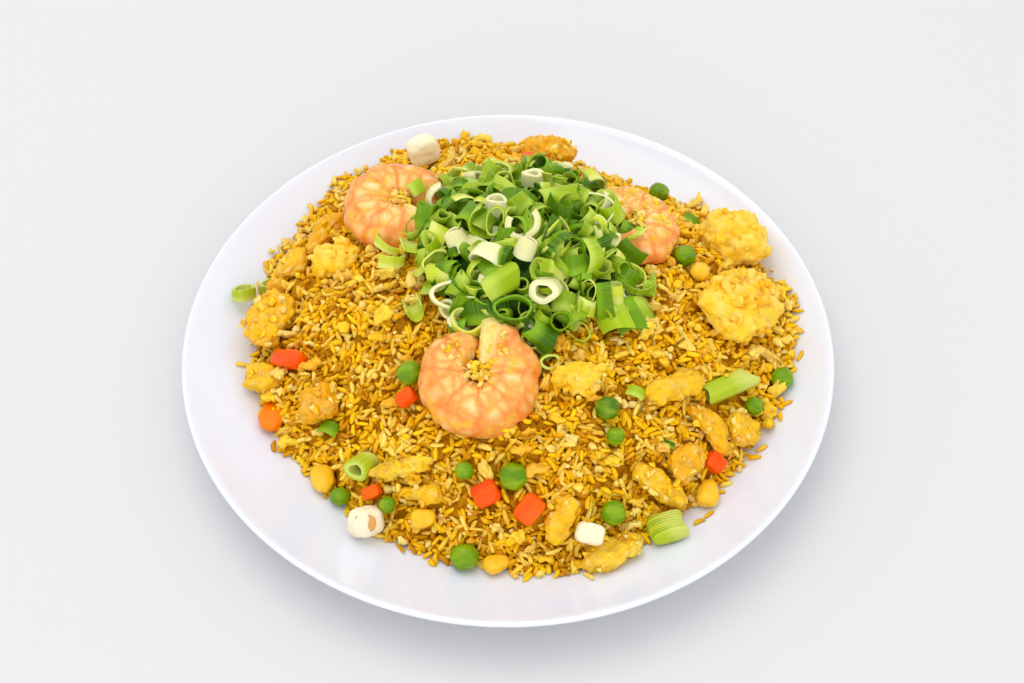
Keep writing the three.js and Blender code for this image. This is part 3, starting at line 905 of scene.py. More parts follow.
def topping_blobs(kind, cells=4):
    """Every numbered piece of one food, each a lumpy blob that fills its node's place."""
    look = BLOB_LOOKS[kind]
    shapes = []
    for number, node in enumerate(numbered(kind)):
        place = Place(node)
        round_piece = node == ROUND_SLICE
        shape = blob(
            place.half * look["swell"],
            power=2.6 if round_piece else look["power"],
            subdivisions=FINE_BLOBS.get(node, 4),
            rough=look["rough"],
            seed=number + 5 * len(kind),
        )
        points, triangles, corners = shape
        along = points[:, 0] / place.half[0]
        if kind == "corn":
            points[:, 1:] *= (1 - 0.3 * (along + 1) / 2)[:, None]
        for axis, bend in zip((1, 2), place.bends):
            points[:, axis] += np.clip(bend, -4, 4) * (along**2 - 0.3) * 0.8
        cell = cells**2 - 1 if round_piece else number
        shapes.append(placed((points, triangles, corners), place.turn, place.middle, cell, cells))
        if node in SHREDDED:
            spots = surface_spots([node], 5.0, 0.15)
            bit = blob((3.6, 1.9, 1.2), 2.4, 2, ((2.4, 0.7), (1.0, 0.3)), seed=number)
            sizes = random.uniform(0.7, 1.35, (len(spots), 3))
            cell = np.full(len(spots), 8 + number)
            shapes.append(stamped(bit, sizes, random_turns(len(spots)), spots, cell, cells))
    return gathered(shapes)


SHRIMP = {
    "length": 40,  # size across the curl to which the other lengths belong
    "spine": 12.0,  # radius of the curl at the head end
    "closing": 0.8,  # how much tighter the curl is at the tail
    "girth": 9.8,  # half the thickness of the head end
    "tail": 3.8,  # half the thickness of the tail
    "sweep": 368,  # degrees of the curl from head to tail
    "tuck": 5.0,  # how far the last quarter dips under the head end
    "flatness": 0.8,
    "ribs": 8,
    "groove": 0.07,  # depth of the grooves between segments, as a share of the girth
    "lobe": 0.05,  # height of the lobes on a segment
}
SHRIMPS = {
    "shrimp_front": {"across": 44, "start": 88},
    "shrimp_left": {"across": 43, "start": -40},
    "shrimp_right": {"across": 37, "start": 160},
}


def shrimp_rings(start, scale, stations=140, sides=26):
    """Rings of the curled body, with segments, a cut head end and a thin tail tucked down."""
    turns = np.arange(sides) / sides * 2 * math.pi
    flat = np.sign(np.sin(turns)) * np.abs(np.sin(turns)) ** 0.9
    rings = np.zeros((stations + 1, sides, 3))
    for i, t in enumerate(np.linspace(0, 1, stations + 1)):
        angle = math.radians(start - SHRIMP["sweep"] * t)
        seam = abs(math.cos(math.pi * SHRIMP["ribs"] * t)) ** 5
        girth = SHRIMP["girth"] + (SHRIMP["tail"] - SHRIMP["girth"]) * t**5
        head = 0.8 + 0.2 * min(1, t / 0.03) ** 0.5
        tail = max(0.25, min(1, (1 - t) / 0.05) ** 0.5)
        groove = 1 - SHRIMP["groove"] * seam * (0.6 + 0.4 * np.cos(turns))
        shift = 2.4 * round(SHRIMP["ribs"] * t)
        lobes = 1 + SHRIMP["lobe"] * (1 - seam) * np.cos(5 * turns + shift)
        half = girth * scale * head * tail * groove * lobes
        spine = (SHRIMP["spine"] - SHRIMP["closing"] * t) * scale
        radius = spine + half * np.cos(turns)
        rings[i, :, 0] = radius * math.cos(angle)
        rings[i, :, 1] = radius * math.sin(angle)
        rings[i, :, 2] = half * SHRIMP["flatness"] * flat - SHRIMP["tuck"] * max(0, t - 0.75) / 0.25
    return rings


def shrimp_shape(node):
    """A curled shrimp in its node's place, and the place of the hole in its curl."""
    scale = SHRIMPS[node]["across"] / SHRIMP["length"]
    points, triangles, corners = grid_shape(shrimp_rings(SHRIMPS[node]["start"], scale))
    seed = len(node)
    middle = points * np.array([1, 1, 0])
    outward = unit(points - unit(middle) * SHRIMP["spine"] * scale)
    rough = 0.9 * lumps(points, 5.5, seed) + 0.35 * lumps(points, 2.2, seed + 9)
    points = points + outward * rough[:, None]
    normal = Place(node).turn[:, 2]
    turn = np.array(Vector((0, 0, 1)).rotation_difference(Vector(normal)).to_matrix())
    points = points @ turn.T
    target = node_points(node)
    shift = (target.min(axis=0) + target.max(axis=0) - points.min(axis=0) - points.max(axis=0)) / 2
    return (points + shift, triangles, corners), shift


LEAF_NODES = {
    "scallion_01": {"wall": 1.3},
    "scallion_02": {"wall": 1.2},
    "scallion_04": {"stalk": True},
    "scallion_06": {"wall": 2.3},
    "scallion_08": {"strip": True},
    "scallion_09": {"wall": 1.1},
}


def stalk(place, strips=8):
    """A stalk of parallel leaves, side by side along the longest side of its place."""
    half = place.half
    parts = []
    for k in range(strips):
        across = (2 * k + 1) / strips - 1
        size = (half[0], half[1] / (strips - 1), half[2] * 0.95)
        points, triangles, corners = blob(size, 3.0, 3, ((3.0, 0.12),), seed=k)
        points[:, 1] += across * half[1]
        points[:, 0] += 0.12 * half[0] * across**2
        parts.append(placed((points, triangles, corners), place.turn, place.middle, strips + k, 4))
    return gathered(parts)


def leaf_node(node, number):
    """A green slice that stands for a node: a ring or tube, a solid stalk or a folded leaf."""
    place = Place(node)
    look = LEAF_NODES[node]
    long, wide, thick = place.half
    if "stalk" in look:
        return stalk(place)
    if "strip" in look:
        shape = leaf(wide, 0.7, long * 2, arc=230, squash=thick / wide * 1.2, seed=4)
        turn = place.turn[:, [2, 1, 0]] * np.array([-1, 1, 1])
    elif long > 1.6 * wide:
        shape = leaf(wide, look["wall"], long * 2, squash=thick / wide, seed=number)
        turn = place.turn[:, [1, 2, 0]]
    else:
        shape = leaf(long, look["wall"], thick * 2, squash=wide / long, seed=number)
        turn = place.turn
    return placed(shape, turn, place.middle, number, 4)


WITH_HEART = "scallion_05"


def pale_node(node, number):
    """A white slice of stem: a block, or a round with a tan heart."""
    place = Place(node)
    round_piece = node == WITH_HEART
    power = 2.7 if round_piece else 4.0
    shape = blob(place.half * 1.03, power, 4, ((4.0, 0.6), (1.6, 0.15)), seed=number + 40)
    whole = placed(shape, place.turn, place.middle, number, 4)
    if not round_piece:
        return whole
    facing = np.array(TO_CAMERA)
    heart = blob((4.2, 3.6, 0.9), 2.2, 3, ((2.0, 0.2),), seed=3)
    turn = frames(np.array([1.0, 0, 0]), facing)
    return gathered([whole, placed(heart, turn, place.middle + facing * 4.9, 15, 4)])


# ---------------------------------------------------------------- the heap of rice


def heap_core(field, plate, centre, reach, columns=200, rows=56):
    """The core of a heap: its top lies at the field's height and its rim comes down to the plate."""
    angles = np.arange(columns) / columns * 2 * math.pi
    rim = np.array([reach(a) for a in angles]) - RIM_INSET
    shares = np.linspace(0.002, 1, rows) ** 0.8
    x = centre[0] + shares[:, None] * rim * np.cos(angles)
    y = centre[1] + shares[:, None] * rim * np.sin(angles)
    base = plate.height(x, y) - 0.4
    top = np.maximum(field.height(x, y), base + 0.3)
    top[-1] = base[-1]
    rings = np.stack([x, y, top], axis=-1)
    rough = lumps(rings.reshape(-1, 3), 2.6, 8).reshape(top.shape)
    rings[:-1, :, 2] += CORE_ROUGHNESS * rough[:-1]
    under = np.stack([x, y, base], axis=-1)[-2::-8]
    return grid_shape(np.concatenate([rings, under]))


def outline_reach(inside, centre, farthest=140):
    """A function of direction that says how far a heap reaches from its centre."""
    footprint = Field(blurred(inside.astype(float), 2))

    def reach(angle):
        radii = np.arange(20, farthest, 0.5)
        x = centre[0] + radii * math.cos(angle)
        y = centre[1] + radii * math.sin(angle)
        outside = footprint.height(x, y) < 0.5
        return radii[np.argmax(outside)] if outside.any() else radii[-1]

    return reach


DRAWS = 12  # places drawn for each one that is wanted


def scattered(count, accept):
    """Random places for which accept gives a chance of 0 to 1."""
    x, y = random.uniform(-128, 128, (2, count * DRAWS))
    keep = random.random(len(x)) < accept(x, y)
    return x[keep][:count], y[keep][:count]


def egg_share(x, y):
    """How egg-rich the heap is: 0 at the front, 1 at the back and right."""
    return np.clip(0.5 + (0.7 * y + 0.55 * x) / 110, 0, 1)


def thrown_grains(surface, core, accept):
    """Centres and turns of grains thrown on the core."""
    x, y = scattered(GRAINS, accept)
    count = len(x)
    normal = surface.normal(x, y)
    lift = random.uniform(0.9, RICE_LAYER, count)
    centres = np.stack([x, y, core.height(x, y)], axis=-1) + normal * lift[:, None]
    directions = random.normal(size=(count, 3))
    directions -= 0.75 * (directions * normal).sum(axis=1)[:, None] * normal
    return centres, frames(directions, normal)


def fallen_grains():
    """Centres and turns of the few grains that lie loose on the plate."""
    x, y = np.array(FALLEN, float).T
    surface = Field(plate_top(np.hypot(*field_axes())))
    normal = surface.normal(x, y)
    centres = np.stack([x, y, surface.height(x, y)], axis=-1) + normal * GRAIN_RADIUS
    return centres, frames(random.normal(size=(len(x), 3)) * (1, 1, 0), normal)


def choose_kinds(x, y):
    """The kind of each grain: like lies by like, and there is more yellow where egg is rich."""
    rich = egg_share(x, y)
    shares = np.array([[k["share"]] for k in RICE_KINDS.values()]) * np.ones(len(x))
    shares[0] *= 1.25 - 0.5 * rich
    shares[2] *= 0.75 + 0.5 * rich
    shares[3] *= 1.5 - 0.9 * rich
    spots = np.stack([x, y, 0 * x], axis=-1)
    for row in range(len(shares)):
        shares[row] *= np.exp(3.0 * lumps(spots, 8.0, 50 + row))
    limits = np.cumsum(shares / shares.sum(axis=0), axis=0)
    return (random.random(len(x)) > limits).sum(axis=0)


def thrown_crumbs(surface, core, accept):
    """Centres and sizes of egg crumbs on the heap, more where it is rich in egg. Curds come first."""
    x, y = scattered(CRUMBS, lambda a, b: accept(a, b) * (0.35 + 0.65 * egg_share(a, b)))
    sizes = random.choice((0.8, 1.1, 1.5, 2.0), len(x), p=(0.35, 0.35, 0.2, 0.1))
    sizes[:CURDS] = random.uniform(1.7, 3.1, CURDS)
    normal = surface.normal(x, y)
    lift = random.uniform(0.5 * RICE_LAYER, RICE_LAYER + 0.6, len(x))
    return np.stack([x, y, core.height(x, y)], -1) + normal * lift[:, None], sizes


def grain_pieces(kinds, lengths, centres, turns):
    """One piece for each kind of grain, from a few bent variants of a grain of length 1."""
    for number, (name, kind) in enumerate(RICE_KINDS.items()):
        mine = np.flatnonzero(kinds == number)
        stamps = []
        for variant in range(VARIANTS):
            some = mine[variant::VARIANTS]
            width = random.uniform(1.75, 2.25)
            thickness = random.uniform(1.5, 1.85)
            bend = random.uniform(-0.9, 0.9)
            blunt_start = random.random() < BLUNT_SHARE
            blunt_end = random.random() < BLUNT_SHARE
            shape = grain(1, width, thickness, bend, blunt_start, blunt_end, variant)
            girth = random.uniform(0.85, 1.18, len(some))
            sizes = np.stack([lengths[some], girth, girth], axis=-1)
            cell = random.integers(0, RICE_CELLS**2, len(some))
            stamps.append(stamped(shape, sizes, turns[some], centres[some], cell, RICE_CELLS))
        new_piece(name, gathered(stamps), rice_look(name, kind["colours"]), ("rice_heap",))


def crumb_stamps(kind, sizes, centres, turns):
    """Lumpy crumbs of a few variants at the given places."""
    spec = CRUMB_KINDS[kind]
    stamps = []
    for variant in range(VARIANTS):
        mine = slice(variant, None, VARIANTS)
        shape = blob(spec["half"], 2.2, spec["fineness"], spec["rough"], spec["seed"] + variant)
        count = len(sizes[mine])
        scale = sizes[mine, None] * random.uniform(*spec["uneven"], (count, 3))
        cell = random.integers(0, spec["cells"] ** 2, count)
        stamps.append(stamped(shape, scale, turns[mine], centres[mine], cell, spec["cells"]))
    return stamps


def dust_spots(holes):
    """Places of crumbs that stick to the toppings and fill the holes of the shrimps."""
    spots = [surface_spots(numbered("chicken") + numbered("egg"), 5.2, 0.45)]
    for node, lowest_y, highest_x in (("shrimp_front", 2, 10), ("shrimp_right", -2, 30)):
        middle = Place(node).middle
        on_shrimp = surface_spots([node], 2.6, 0.55)
        near = (on_shrimp[:, 1] > middle[1] + lowest_y) & (on_shrimp[:, 0] < middle[0] + highest_x)
        spots.append(on_shrimp[near])
    for hole in holes.values():
        spots.append(hole + random.normal(size=(26, 3)) * (2.4, 2.4, 0.7) + (0, 0, 4.2))
    return np.concatenate(spots)


def dust_stamp(spots):
    """Small flat crumbs at the given spots."""
    sizes = random.uniform(0.8, 1.8, (len(spots), 1)) * random.uniform(0.7, 1.4, (len(spots), 3))
    cells = CRUMB_KINDS["crumbs"]["cells"]
    cell = random.integers(0, cells**2, len(spots))
    shape = blob((1.2, 0.8, 0.55), 2.2, 2, ((0.9, 0.6), (0.4, 0.2)), seed=77)
    return stamped(shape, sizes, random_turns(len(spots)), spots, cell, cells)


EGG_COLOURS = {
    "curds": ("FFC616", "FFD940", "FBE07A", "F6B408"),
    "crumbs": ("FFC80A", "FFDA3C", "FBE48A", "F2AE04"),
}


def crumb_pieces(sizes, centres, turns, holes):
    """The egg curds and the smaller egg crumbs, with those that stick to the toppings."""
    for kind, mine in (("curds", slice(0, CURDS)), ("crumbs", slice(CURDS, None))):
        stamps = crumb_stamps(kind, sizes[mine], centres[mine], turns[mine])
        if kind == "crumbs":
            stamps.append(dust_stamp(dust_spots(holes)))
        look = crumb_look("egg_" + kind, EGG_COLOURS[kind], CRUMB_KINDS[kind]["cells"])
        new_piece("egg_" + kind, gathered(stamps), look, ("rice_heap",))


def build_rice(surface, core, accept, fixed, holes):
    """Grains and crumbs thrown on the heap's core and settled together."""
    throws = [thrown_grains(surface, core, accept), fallen_grains()]
    grains, grain_turns = (np.concatenate(rows) for rows in zip(*throws))
    crumbs, crumb_sizes = thrown_crumbs(surface, core, accept)
    count = len(grains)
    kinds = choose_kinds(grains[:, 0], grains[:, 1])
    shortest, longest = np.array([k["length"] for k in RICE_KINDS.values()])[kinds].T
    lengths = shortest + (longest - shortest) * random.random(count)
    offsets = np.array([[-1, 0, 0], [0, 0, 0], [1, 0, 0]])
    grain_balls = offsets * (lengths / 2 - GRAIN_RADIUS)[:, None, None]
    crumb_balls = offsets[:, [1, 0, 2]] * (0.25 * crumb_sizes)[:, None, None]
    balls = np.concatenate([grain_balls, crumb_balls])
    radii = np.concatenate([np.full(count, GRAIN_RADIUS), 0.9 * crumb_sizes])
    centres = np.concatenate([grains, crumbs])
    turns = np.concatenate([grain_turns, random_turns(len(crumbs))])
    centres, turns = settle(centres, turns, balls, radii, core, surface, RICE_PULL, fixed)
    rolled = frames(turns[:count, :, 0], random.normal(size=(count, 3)))
    grain_pieces(kinds, lengths, centres[:count], rolled)
    crumb_pieces(crumb_sizes, centres[count:], turns[count:], holes)


# ---------------------------------------------------------------- the pile of scallions

LEAF_KINDS = {
    "ring": {"share": 0.36, "radius": (3.2, 6.2), "height": (2.0, 4.5), "wall": (0.7, 1.1), "arc": 360},
    "tube": {"share": 0.28, "radius": (2.6, 4.8), "height": (5.5, 11.0), "wall": (0.6, 0.9), "arc": 360},
    "open": {"share": 0.20, "radius": (4.0, 7.0), "height": (3.0, 7.0), "wall": (0.5, 0.9), "arc": 250},
    "strip": {"share": 0.16, "radius": (8.0, 14.0), "height": (5.0, 9.0), "wall": (0.4, 0.7), "arc": 80},
}
GREENS = {
    "dark": {
        "share": 0.38,
        "outside": ("1A4400", "306200", "4C7E00"),
        "inside": ("6A9400", "305C00"),
        "cut": "98C428",
    },
    "mid": {
        "share": 0.36,
        "outside": ("6E9C00", "90B400", "ACC800"),
        "inside": ("A0BC00", "7A9A00"),
        "cut": "CCE060",
    },
    "light": {
        "share": 0.2,
        "outside": ("B8CA08", "D0DA28", "A2C000"),
        "inside": ("D4DC3C", "BCCC10"),
        "cut": "E8EC90",
    },
    "white": {
        "share": 0.06,
        "outside": ("E6E096", "F2ECBC", "D8DC80"),
        "inside": ("E0DE90", "ECE8B0"),
        "cut": "F6F0C8",
    },
}
LEAVES = 300
LEAF_CELLS = 8
LEAF_BALL = 1.15  # radius of the balls that stand for a slice while it settles

TO_CAMERA = (0, -0.63, 0.78)
FEATURES = (  # green, x, y, lift, radius, height, wall, arc, squash, axis, side
    ("light", -4, 60, 1.5, 5.6, 3.0, 1.5, 360, 0.8, (0.1, -0.5, 0.86), (1, 0, 0)),
    ("light", -27, 9, 1, 6.2, 3.5, 1.0, 360, 0.8, (0.2, -0.5, 0.85), (1, 0, 0)),
    ("light", -15, -20, 1, 6.4, 7.5, 1.2, 360, 0.85, (0, -0.15, 1), (1, 0, 0)),
    ("white", -18, -10, 2, 10.8, 3.0, 1.7, 360, 0.6, (0.15, -0.45, 0.9), (1, 0.1, 0)),
    ("white", 6, 12, 3, 6.8, 2.2, 2.3, 250, 1.0, TO_CAMERA, (0.2, -0.78, -0.63)),
    ("dark", 4, 29, 3, 9.0, 7.0, 0.8, 110, 1.0, (0.2, 0.6, 0.5), (0, -0.4, 0.9)),
    ("mid", -5, 16, 3, 6.0, 4.0, 1.1, 360, 0.6, TO_CAMERA, (0.3, 0.78, 0.63)),
    ("dark", 2, -20, 3, 7.8, 5.0, 1.3, 360, 0.65, (0.05, -0.35, 0.95), (1, 0, 0)),
    ("dark", -14, 23, 2, 6.0, 8.0, 0.8, 300, 0.7, (0.5, 0.5, 0.4), (0, -0.5, 0.8)),
    ("dark", 35, 74, 2, 6.5, 6.0, 1.0, 360, 0.5, (0.6, -0.4, 0.5), (1, 0.4, -0.2)),
    ("dark", 21, 4, 2, 8.0, 8.0, 0.9, 300, 0.85, (0.5, -0.6, 0.5), (0.5, 0.6, 0.6)),
    ("mid", 21, 35, 3, 5.6, 14.0, 0.9, 360, 0.75, (1, 0.15, 0.15), (0, -0.3, 1)),
    ("mid", -3, -11, 3, 7.5, 13.0, 0.9, 230, 0.7, (0.8, 0.5, 0.2), (0, -0.4, 0.9)),
    ("white", 14, -13, 2.5, 5.8, 8.5, 2.6, 360, 0.8, (-0.25, -0.75, 0.6), (1, 0, 0.3)),
    ("white", 10, 51, 2, 4.6, 5.0, 2.2, 360, 0.9, (0.3, 0.3, 0.9), (1, 0, 0)),
    ("light", 30, -9, 2, 5.6, 2.0, 0.7, 360, 0.6, TO_CAMERA, (0.2, 0.78, 0.63)),
    ("white", 37, 31, 2, 9.0, 1.2, 0.8, 190, 0.8, TO_CAMERA, (1, 0.1, 0)),
    ("mid", 55, 3, 2, 3.2, 4.0, 0.8, 360, 0.6, (0.9, -0.3, 0.3), (0, 0.5, 0.8)),
    ("light", 9, -27, 1.5, 4.4, 2.4, 1.0, 360, 0.8, TO_CAMERA, (1, 0.3, 0)),
    ("light", 16, -34, 1, 3.8, 2.6, 1.1, 360, 0.85, TO_CAMERA, (1, 0, 0)),
    ("mid", 26, -22, 1.5, 6.4, 2.2, 0.8, 360, 0.5, TO_CAMERA, (0.8, -0.4, -0.3)),
    ("mid", 39, -13, 3, 9.0, 14.0, 0.8, 90, 1.0, (0.35, -0.8, -0.2), (-0.1, -0.2, 1)),
    ("dark", 46, -12, 3, 8.0, 14.0, 0.8, 90, 1.0, (0.35, -0.8, -0.3), (0.1, -0.2, 1)),
    ("mid", 52, -9, 1.5, 8.0, 12.0, 0.8, 80, 1.0, (0.35, -0.8, -0.3), (0.3, -0.2, 1)),
    ("dark", -69, -45, 2, 6.0, 5.0, 0.6, 80, 1.0, (0.3, 0.8, 0.3), (0, 0, 1)),
    ("mid", 48, -42, 2, 7.0, 4.0, 0.6, 60, 1.0, (0.3, 0.8, 0.2), (0.2, -0.2, 1)),
    ("dark", 60, -56, 1.5, 7.0, 3.0, 0.6, 55, 1.0, (0.2, 0.8, 0.3), (0.1, -0.3, 1)),
    ("dark", 77, 58, 2, 6.0, 4.0, 0.6, 100, 1.0, (0.6, 0.6, 0.2), (0, -0.3, 1)),
    ("light", -44, 16, 3, 8.0, 4.5, 0.6, 150, 1.0, (0.3, 0.4, 0.8), (0.8, -0.5, 0.2)),
    ("light", -49, 24, 3.5, 8.0, 3.5, 0.5, 110, 1.0, (0.5, 0.5, 0.6), (-0.6, -0.5, 0.5)),
    ("mid", -37, 52, 7.5, 6.0, 6.0, 0.6, 60, 1.0, (0.8, 0.5, 0.2), (0, -0.3, 1)),
)


def leaf_balls(radius, height, arc, squash):
    """Eight balls that stand for a leaf slice while it settles."""
    angles = np.radians(np.linspace(-arc / 2, arc / 2, 4, endpoint=arc < 360))
    ring = np.stack([radius * np.cos(angles), radius * squash * np.sin(angles)], axis=-1)
    if arc < 360:
        ring[:, 0] -= radius * (1 + math.cos(math.radians(arc / 2))) / 2
    half = max(height / 2 - 0.8, 0)
    return np.concatenate([np.insert(ring, 2, level, axis=1) for level in (-half, half)])


def random_slices(count):
    """Kinds, greens and sizes for loose slices."""
    kinds = random.choice(list(LEAF_KINDS), count, p=[k["share"] for k in LEAF_KINDS.values()])
    greens = random.choice(list(GREENS), count, p=[g["share"] for g in GREENS.values()])
    slices = []
    for kind in kinds:
        spec = LEAF_KINDS[kind]
        whole = spec["arc"] >= 360
        arc = spec["arc"] * (1 if whole else random.uniform(0.8, 1.2))
        radius, height, wall = (random.uniform(*spec[size]) for size in ("radius", "height", "wall"))
        squash = random.uniform(0.6, 1.0) if whole else 1.0
        slices.append({"radius": radius, "height": height, "wall": wall, "arc": arc, "squash": squash})
    return greens, slices


def feature_slices(surface):
    """The slices with a place of their own: their greens and shapes, and the balls that fix them."""
    shapes = []
    blocks = []
    for number, (green, x, y, lift, radius, height, wall, arc, squash, axis, side) in enumerate(FEATURES):
        turn = frames(np.array(side, float), np.array(axis, float))
        spot = np.array([x, y, float(surface.height(np.array(x), np.array(y))) - 1 + lift])
        shape = leaf(radius, wall, height, arc, squash, seed=900 + number, rows=34)
        shapes.append((green, placed(shape, turn, spot, number, LEAF_CELLS)))
        balls = leaf_balls(radius, height, arc, squash) @ turn.T + spot
        blocks.append(np.concatenate([balls, np.full((len(balls), 1), 1.5)], axis=1))
    return shapes, np.concatenate(blocks)


def settled_slices(x, y, slices, surface, core, fixed):
    """Centres and turns of loose slices after they are thrown on the pile's core and settled."""
    count = len(x)
    normal = surface.normal(x, y)
    lift = random.uniform(1.5, PILE_LAYER, count)
    centres = np.stack([x, y, core.height(x, y)], axis=-1) + normal * lift[:, None]
    axis = random.normal(size=(count, 3)) + normal * 0.8
    turns = frames(random.normal(size=(count, 3)), axis)
    balls = np.array([leaf_balls(s["radius"], s["height"], s["arc"], s["squash"]) for s in slices])
    offset = balls.mean(axis=1, keepdims=True)
    centres = centres + np.einsum("nij,nkj->nki", turns, offset)[:, 0]
    radii = np.full(count, LEAF_BALL)
    centres, turns = settle(centres, turns, balls - offset, radii, core, surface, LEAF_PULL, fixed)
    return centres - np.einsum("nij,nkj->nki", turns, offset)[:, 0], turns


def build_pile(surface, core, accept, fixed):
    """Slices thrown on the pile's core and settled round those with a place of their own."""
    x, y = scattered(LEAVES, accept)
    greens, slices = random_slices(len(x))
    kept, kept_balls = feature_slices(surface)
    fixed = np.concatenate([fixed, kept_balls])
    centres, turns = settled_slices(x, y, slices, surface, core, fixed)
    for name, green in GREENS.items():
        white = name == "white"
        shapes = [shape for colour, shape in kept if colour == name]
        for i in np.flatnonzero(greens == name):
            s = slices[i]
            taper = random.uniform(-0.12, 0.12)
            curl = random.uniform(0, 0.06) if s["arc"] < 360 else 0
            wall = s["wall"] * (1.6 if white else 1)
            shape = leaf(s["radius"], wall, s["height"], s["arc"], s["squash"], taper, curl, int(i))
            shapes.append(placed(shape, turns[i], centres[i], int(i) % LEAF_CELLS**2, LEAF_CELLS))
        look = leaf_look("leaf_" + name, green["outside"], green["inside"], green["cut"], LEAF_CELLS)
        new_piece("scallion_" + name, gathered(shapes), look, ("scallion_pile",), crease=50)


# ---------------------------------------------------------------- everything together


def build_core_shapes(plate, rice_core, pile_core, heap_inside, pile_inside):
    """The smaller solids that fill the rice and the scallions from inside."""
    reach = outline_reach(heap_inside, HEAP_MIDDLE)
    shape = heap_core(rice_core, plate, HEAP_MIDDLE, reach)
    new_piece("rice_core", shape, core_look(), ("rice_heap",))
    pile_reach = outline_reach(pile_inside, PILE_MIDDLE)
    shape = heap_core(pile_core, rice_core, PILE_MIDDLE, lambda a: pile_reach(a) - PILE_INSET, 120, 36)
    new_piece("scallion_core", shape, leaf_core_look(), ("scallion_pile",))


def topping_test():
    """A function that says whether a topping passes through places at the given heights."""
    tree = node_tree(*TOPPINGS)
    high = cast_on(tree)
    low = cast_on(tree, RAY_BOTTOM, 1)
    covered = ~np.isnan(high)

    def in_topping(x, y, height):
        i, j = (
            np.clip(((v + FIELD_REACH) / FIELD_STEP + 0.5).astype(int), 0, len(high) - 1) for v in (x, y)
        )
        return covered[i, j] & (high[i, j] > height + 0.5) & (low[i, j] < height - 1)

    return in_topping


STEEPEST = 2.2  # surface over each unit of plan where every place drawn gets a grain
RICE_EDGE = 0.55  # share of the blurred outline inside which rice is thrown
LEAF_EDGE = 0.75
LEAF_CHANCE = 0.8
THICK_PILE = 4.5  # no rice is thrown where the scallions lie thicker than this
PILE_INSET = 5  # from the outline of the pile to the rim of its core


def build_heaps():
    """The rice and the scallions, over cores that lie under the outer surfaces of the frame."""
    x, y = field_axes()
    plate = plate_top(np.hypot(x, y))
    heap, heap_inside = heap_field(["rice_heap"], plate, 10)
    pile, pile_inside = heap_field(["scallion_pile"], np.where(heap_inside, heap, plate), 6)
    grid = np.stack([x, y, 0 * x], axis=-1).reshape(-1, 3)
    bumps = HEAP_LUMP * lumps(grid, 11.0, 2) + HEAP_FINE_LUMP * lumps(grid, 5.5, 5)
    heap += bumps.reshape(x.shape) * np.clip((heap - plate) / 12, 0, 1)

    surface = Field(heap)
    steep = np.sqrt(1 + (surface.slopes**2).sum(axis=-1))
    rice_core = Field(np.maximum(heap - CORE_DEPTH * np.minimum(steep, 1.6), plate))
    pile_surface = Field(np.maximum(pile, heap))
    pile_core = Field(np.maximum(pile - PILE_DEPTH, rice_core.heights))
    in_topping = topping_test()
    on_heap = Field(blurred(heap_inside.astype(float), 1))
    pile_over = Field(blurred(np.where(pile_inside, pile - heap, 0), 1))
    on_pile = Field(blurred(pile_inside.astype(float), 20))

    def accept_rice(px, py):
        area = 1 / surface.normal(px, py)[:, 2] / STEEPEST
        free = (on_heap.height(px, py) > RICE_EDGE) & (pile_over.height(px, py) < THICK_PILE)
        return np.where(free & ~in_topping(px, py, surface.height(px, py)), area, 0)

    def accept_leaf(px, py):
        free = on_pile.height(px, py) > LEAF_EDGE
        return np.where(free & ~in_topping(px, py, pile_surface.height(px, py)), LEAF_CHANCE, 0)

    build_core_shapes(Field(plate), rice_core, pile_core, heap_inside, pile_inside)
    holes = {}
    for node in SHRIMPS:
        shape, holes[node] = shrimp_shape(node)
        new_piece(node + "_flesh", shape, shrimp_look(node), (node,))
    fixed = surface_balls(TOPPINGS, 1.9, 1.1)
    build_rice(surface, rice_core, accept_rice, fixed, holes)
    build_pile(pile_surface, pile_core, accept_leaf, fixed)


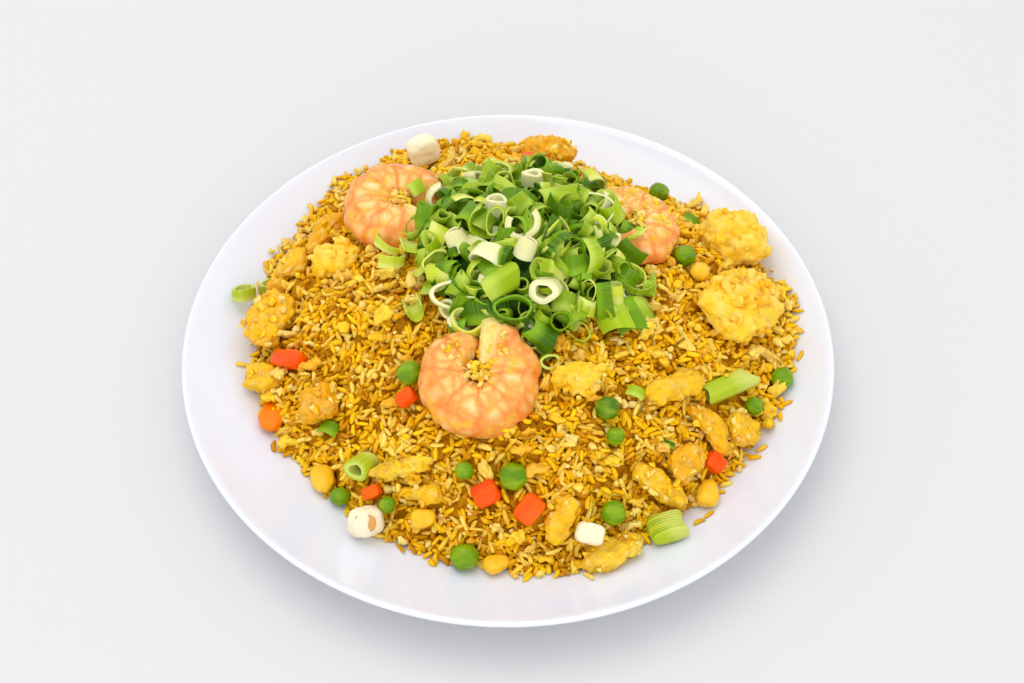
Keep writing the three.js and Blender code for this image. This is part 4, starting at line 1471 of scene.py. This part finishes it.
def build_toppings():
    """One piece for each kind of topping, in place of all the nodes of that kind."""
    for kind in BLOB_LOOKS:
        crease = 55 if kind == "carrot" else None
        new_piece(kind + "_pieces", topping_blobs(kind), food_look(kind), numbered(kind), crease)
    greens = [leaf_node(node, k) for k, node in enumerate(LEAF_NODES)]
    look = leaf_look("loose_leaf", ("88AC00", "BAC804", "D2D41C"), ("BCC824", "9CB808"), "DEE27C", 4)
    new_piece("scallion_slices", gathered(greens), look, list(LEAF_NODES), crease=50)
    pale = [n for n in numbered("scallion") if n not in LEAF_NODES]
    pales = [pale_node(node, k) for k, node in enumerate(pale)]
    look = food_look("pale_scallion")
    new_piece("scallion_whites", gathered(pales), look, pale, crease=60)


def build_stage():
    """The white table, the surrounding light and the lamps."""
    scene = bpy.context.scene
    scene.view_settings.view_transform = "Standard"
    floor_mesh = bpy.data.meshes.new("floor")
    side = 3.0
    corners = [(-side, -side, 0), (side, -side, 0), (side, side, 0), (-side, side, 0)]
    floor_mesh.from_pydata(corners, [], [(0, 1, 2, 3)])
    paper = bpy.data.materials.new("paper")
    paper.use_nodes = True
    shader = paper.node_tree.nodes["Principled BSDF"]
    shader.inputs["Base Color"].default_value = (0.69, 0.69, 0.69, 1)
    shader.inputs["Roughness"].default_value = 0.8
    floor_mesh.materials.append(paper)
    floor = bpy.data.objects.new("floor", floor_mesh)
    scene.collection.objects.link(floor)

    world = bpy.data.worlds.new("studio")
    world.use_nodes = True
    world.node_tree.nodes["Background"].inputs["Color"].default_value = (1, 1, 1, 1)
    world.node_tree.nodes["Background"].inputs["Strength"].default_value = WORLD_LIGHT
    scene.world = world
    for name, place, size, watts in LIGHTS:
        lamp_data = bpy.data.lights.new(name, "AREA")
        lamp_data.size = size
        lamp_data.energy = watts
        lamp = bpy.data.objects.new(name, lamp_data)
        lamp.location = place
        lamp.rotation_euler = (-Vector(place)).to_track_quat("-Z", "Y").to_euler()
        scene.collection.objects.link(lamp)

    camera_data = bpy.data.cameras.new("camera")
    camera_data.lens = CAMERA["lens"]
    camera = bpy.data.objects.new("camera", camera_data)
    tilt = math.radians(CAMERA["elevation"])
    target = Vector(CAMERA["target"]) * MM
    back = Vector((0, -math.cos(tilt), math.sin(tilt)))
    camera.location = target + back * CAMERA["distance"] * MM
    camera.rotation_euler = back.to_track_quat("Z", "Y").to_euler()
    scene.collection.objects.link(camera)
    scene.camera = camera


new_piece("porcelain_plate", plate_shape(), porcelain_look(), ("plate",))
build_heaps()
build_toppings()
build_stage()
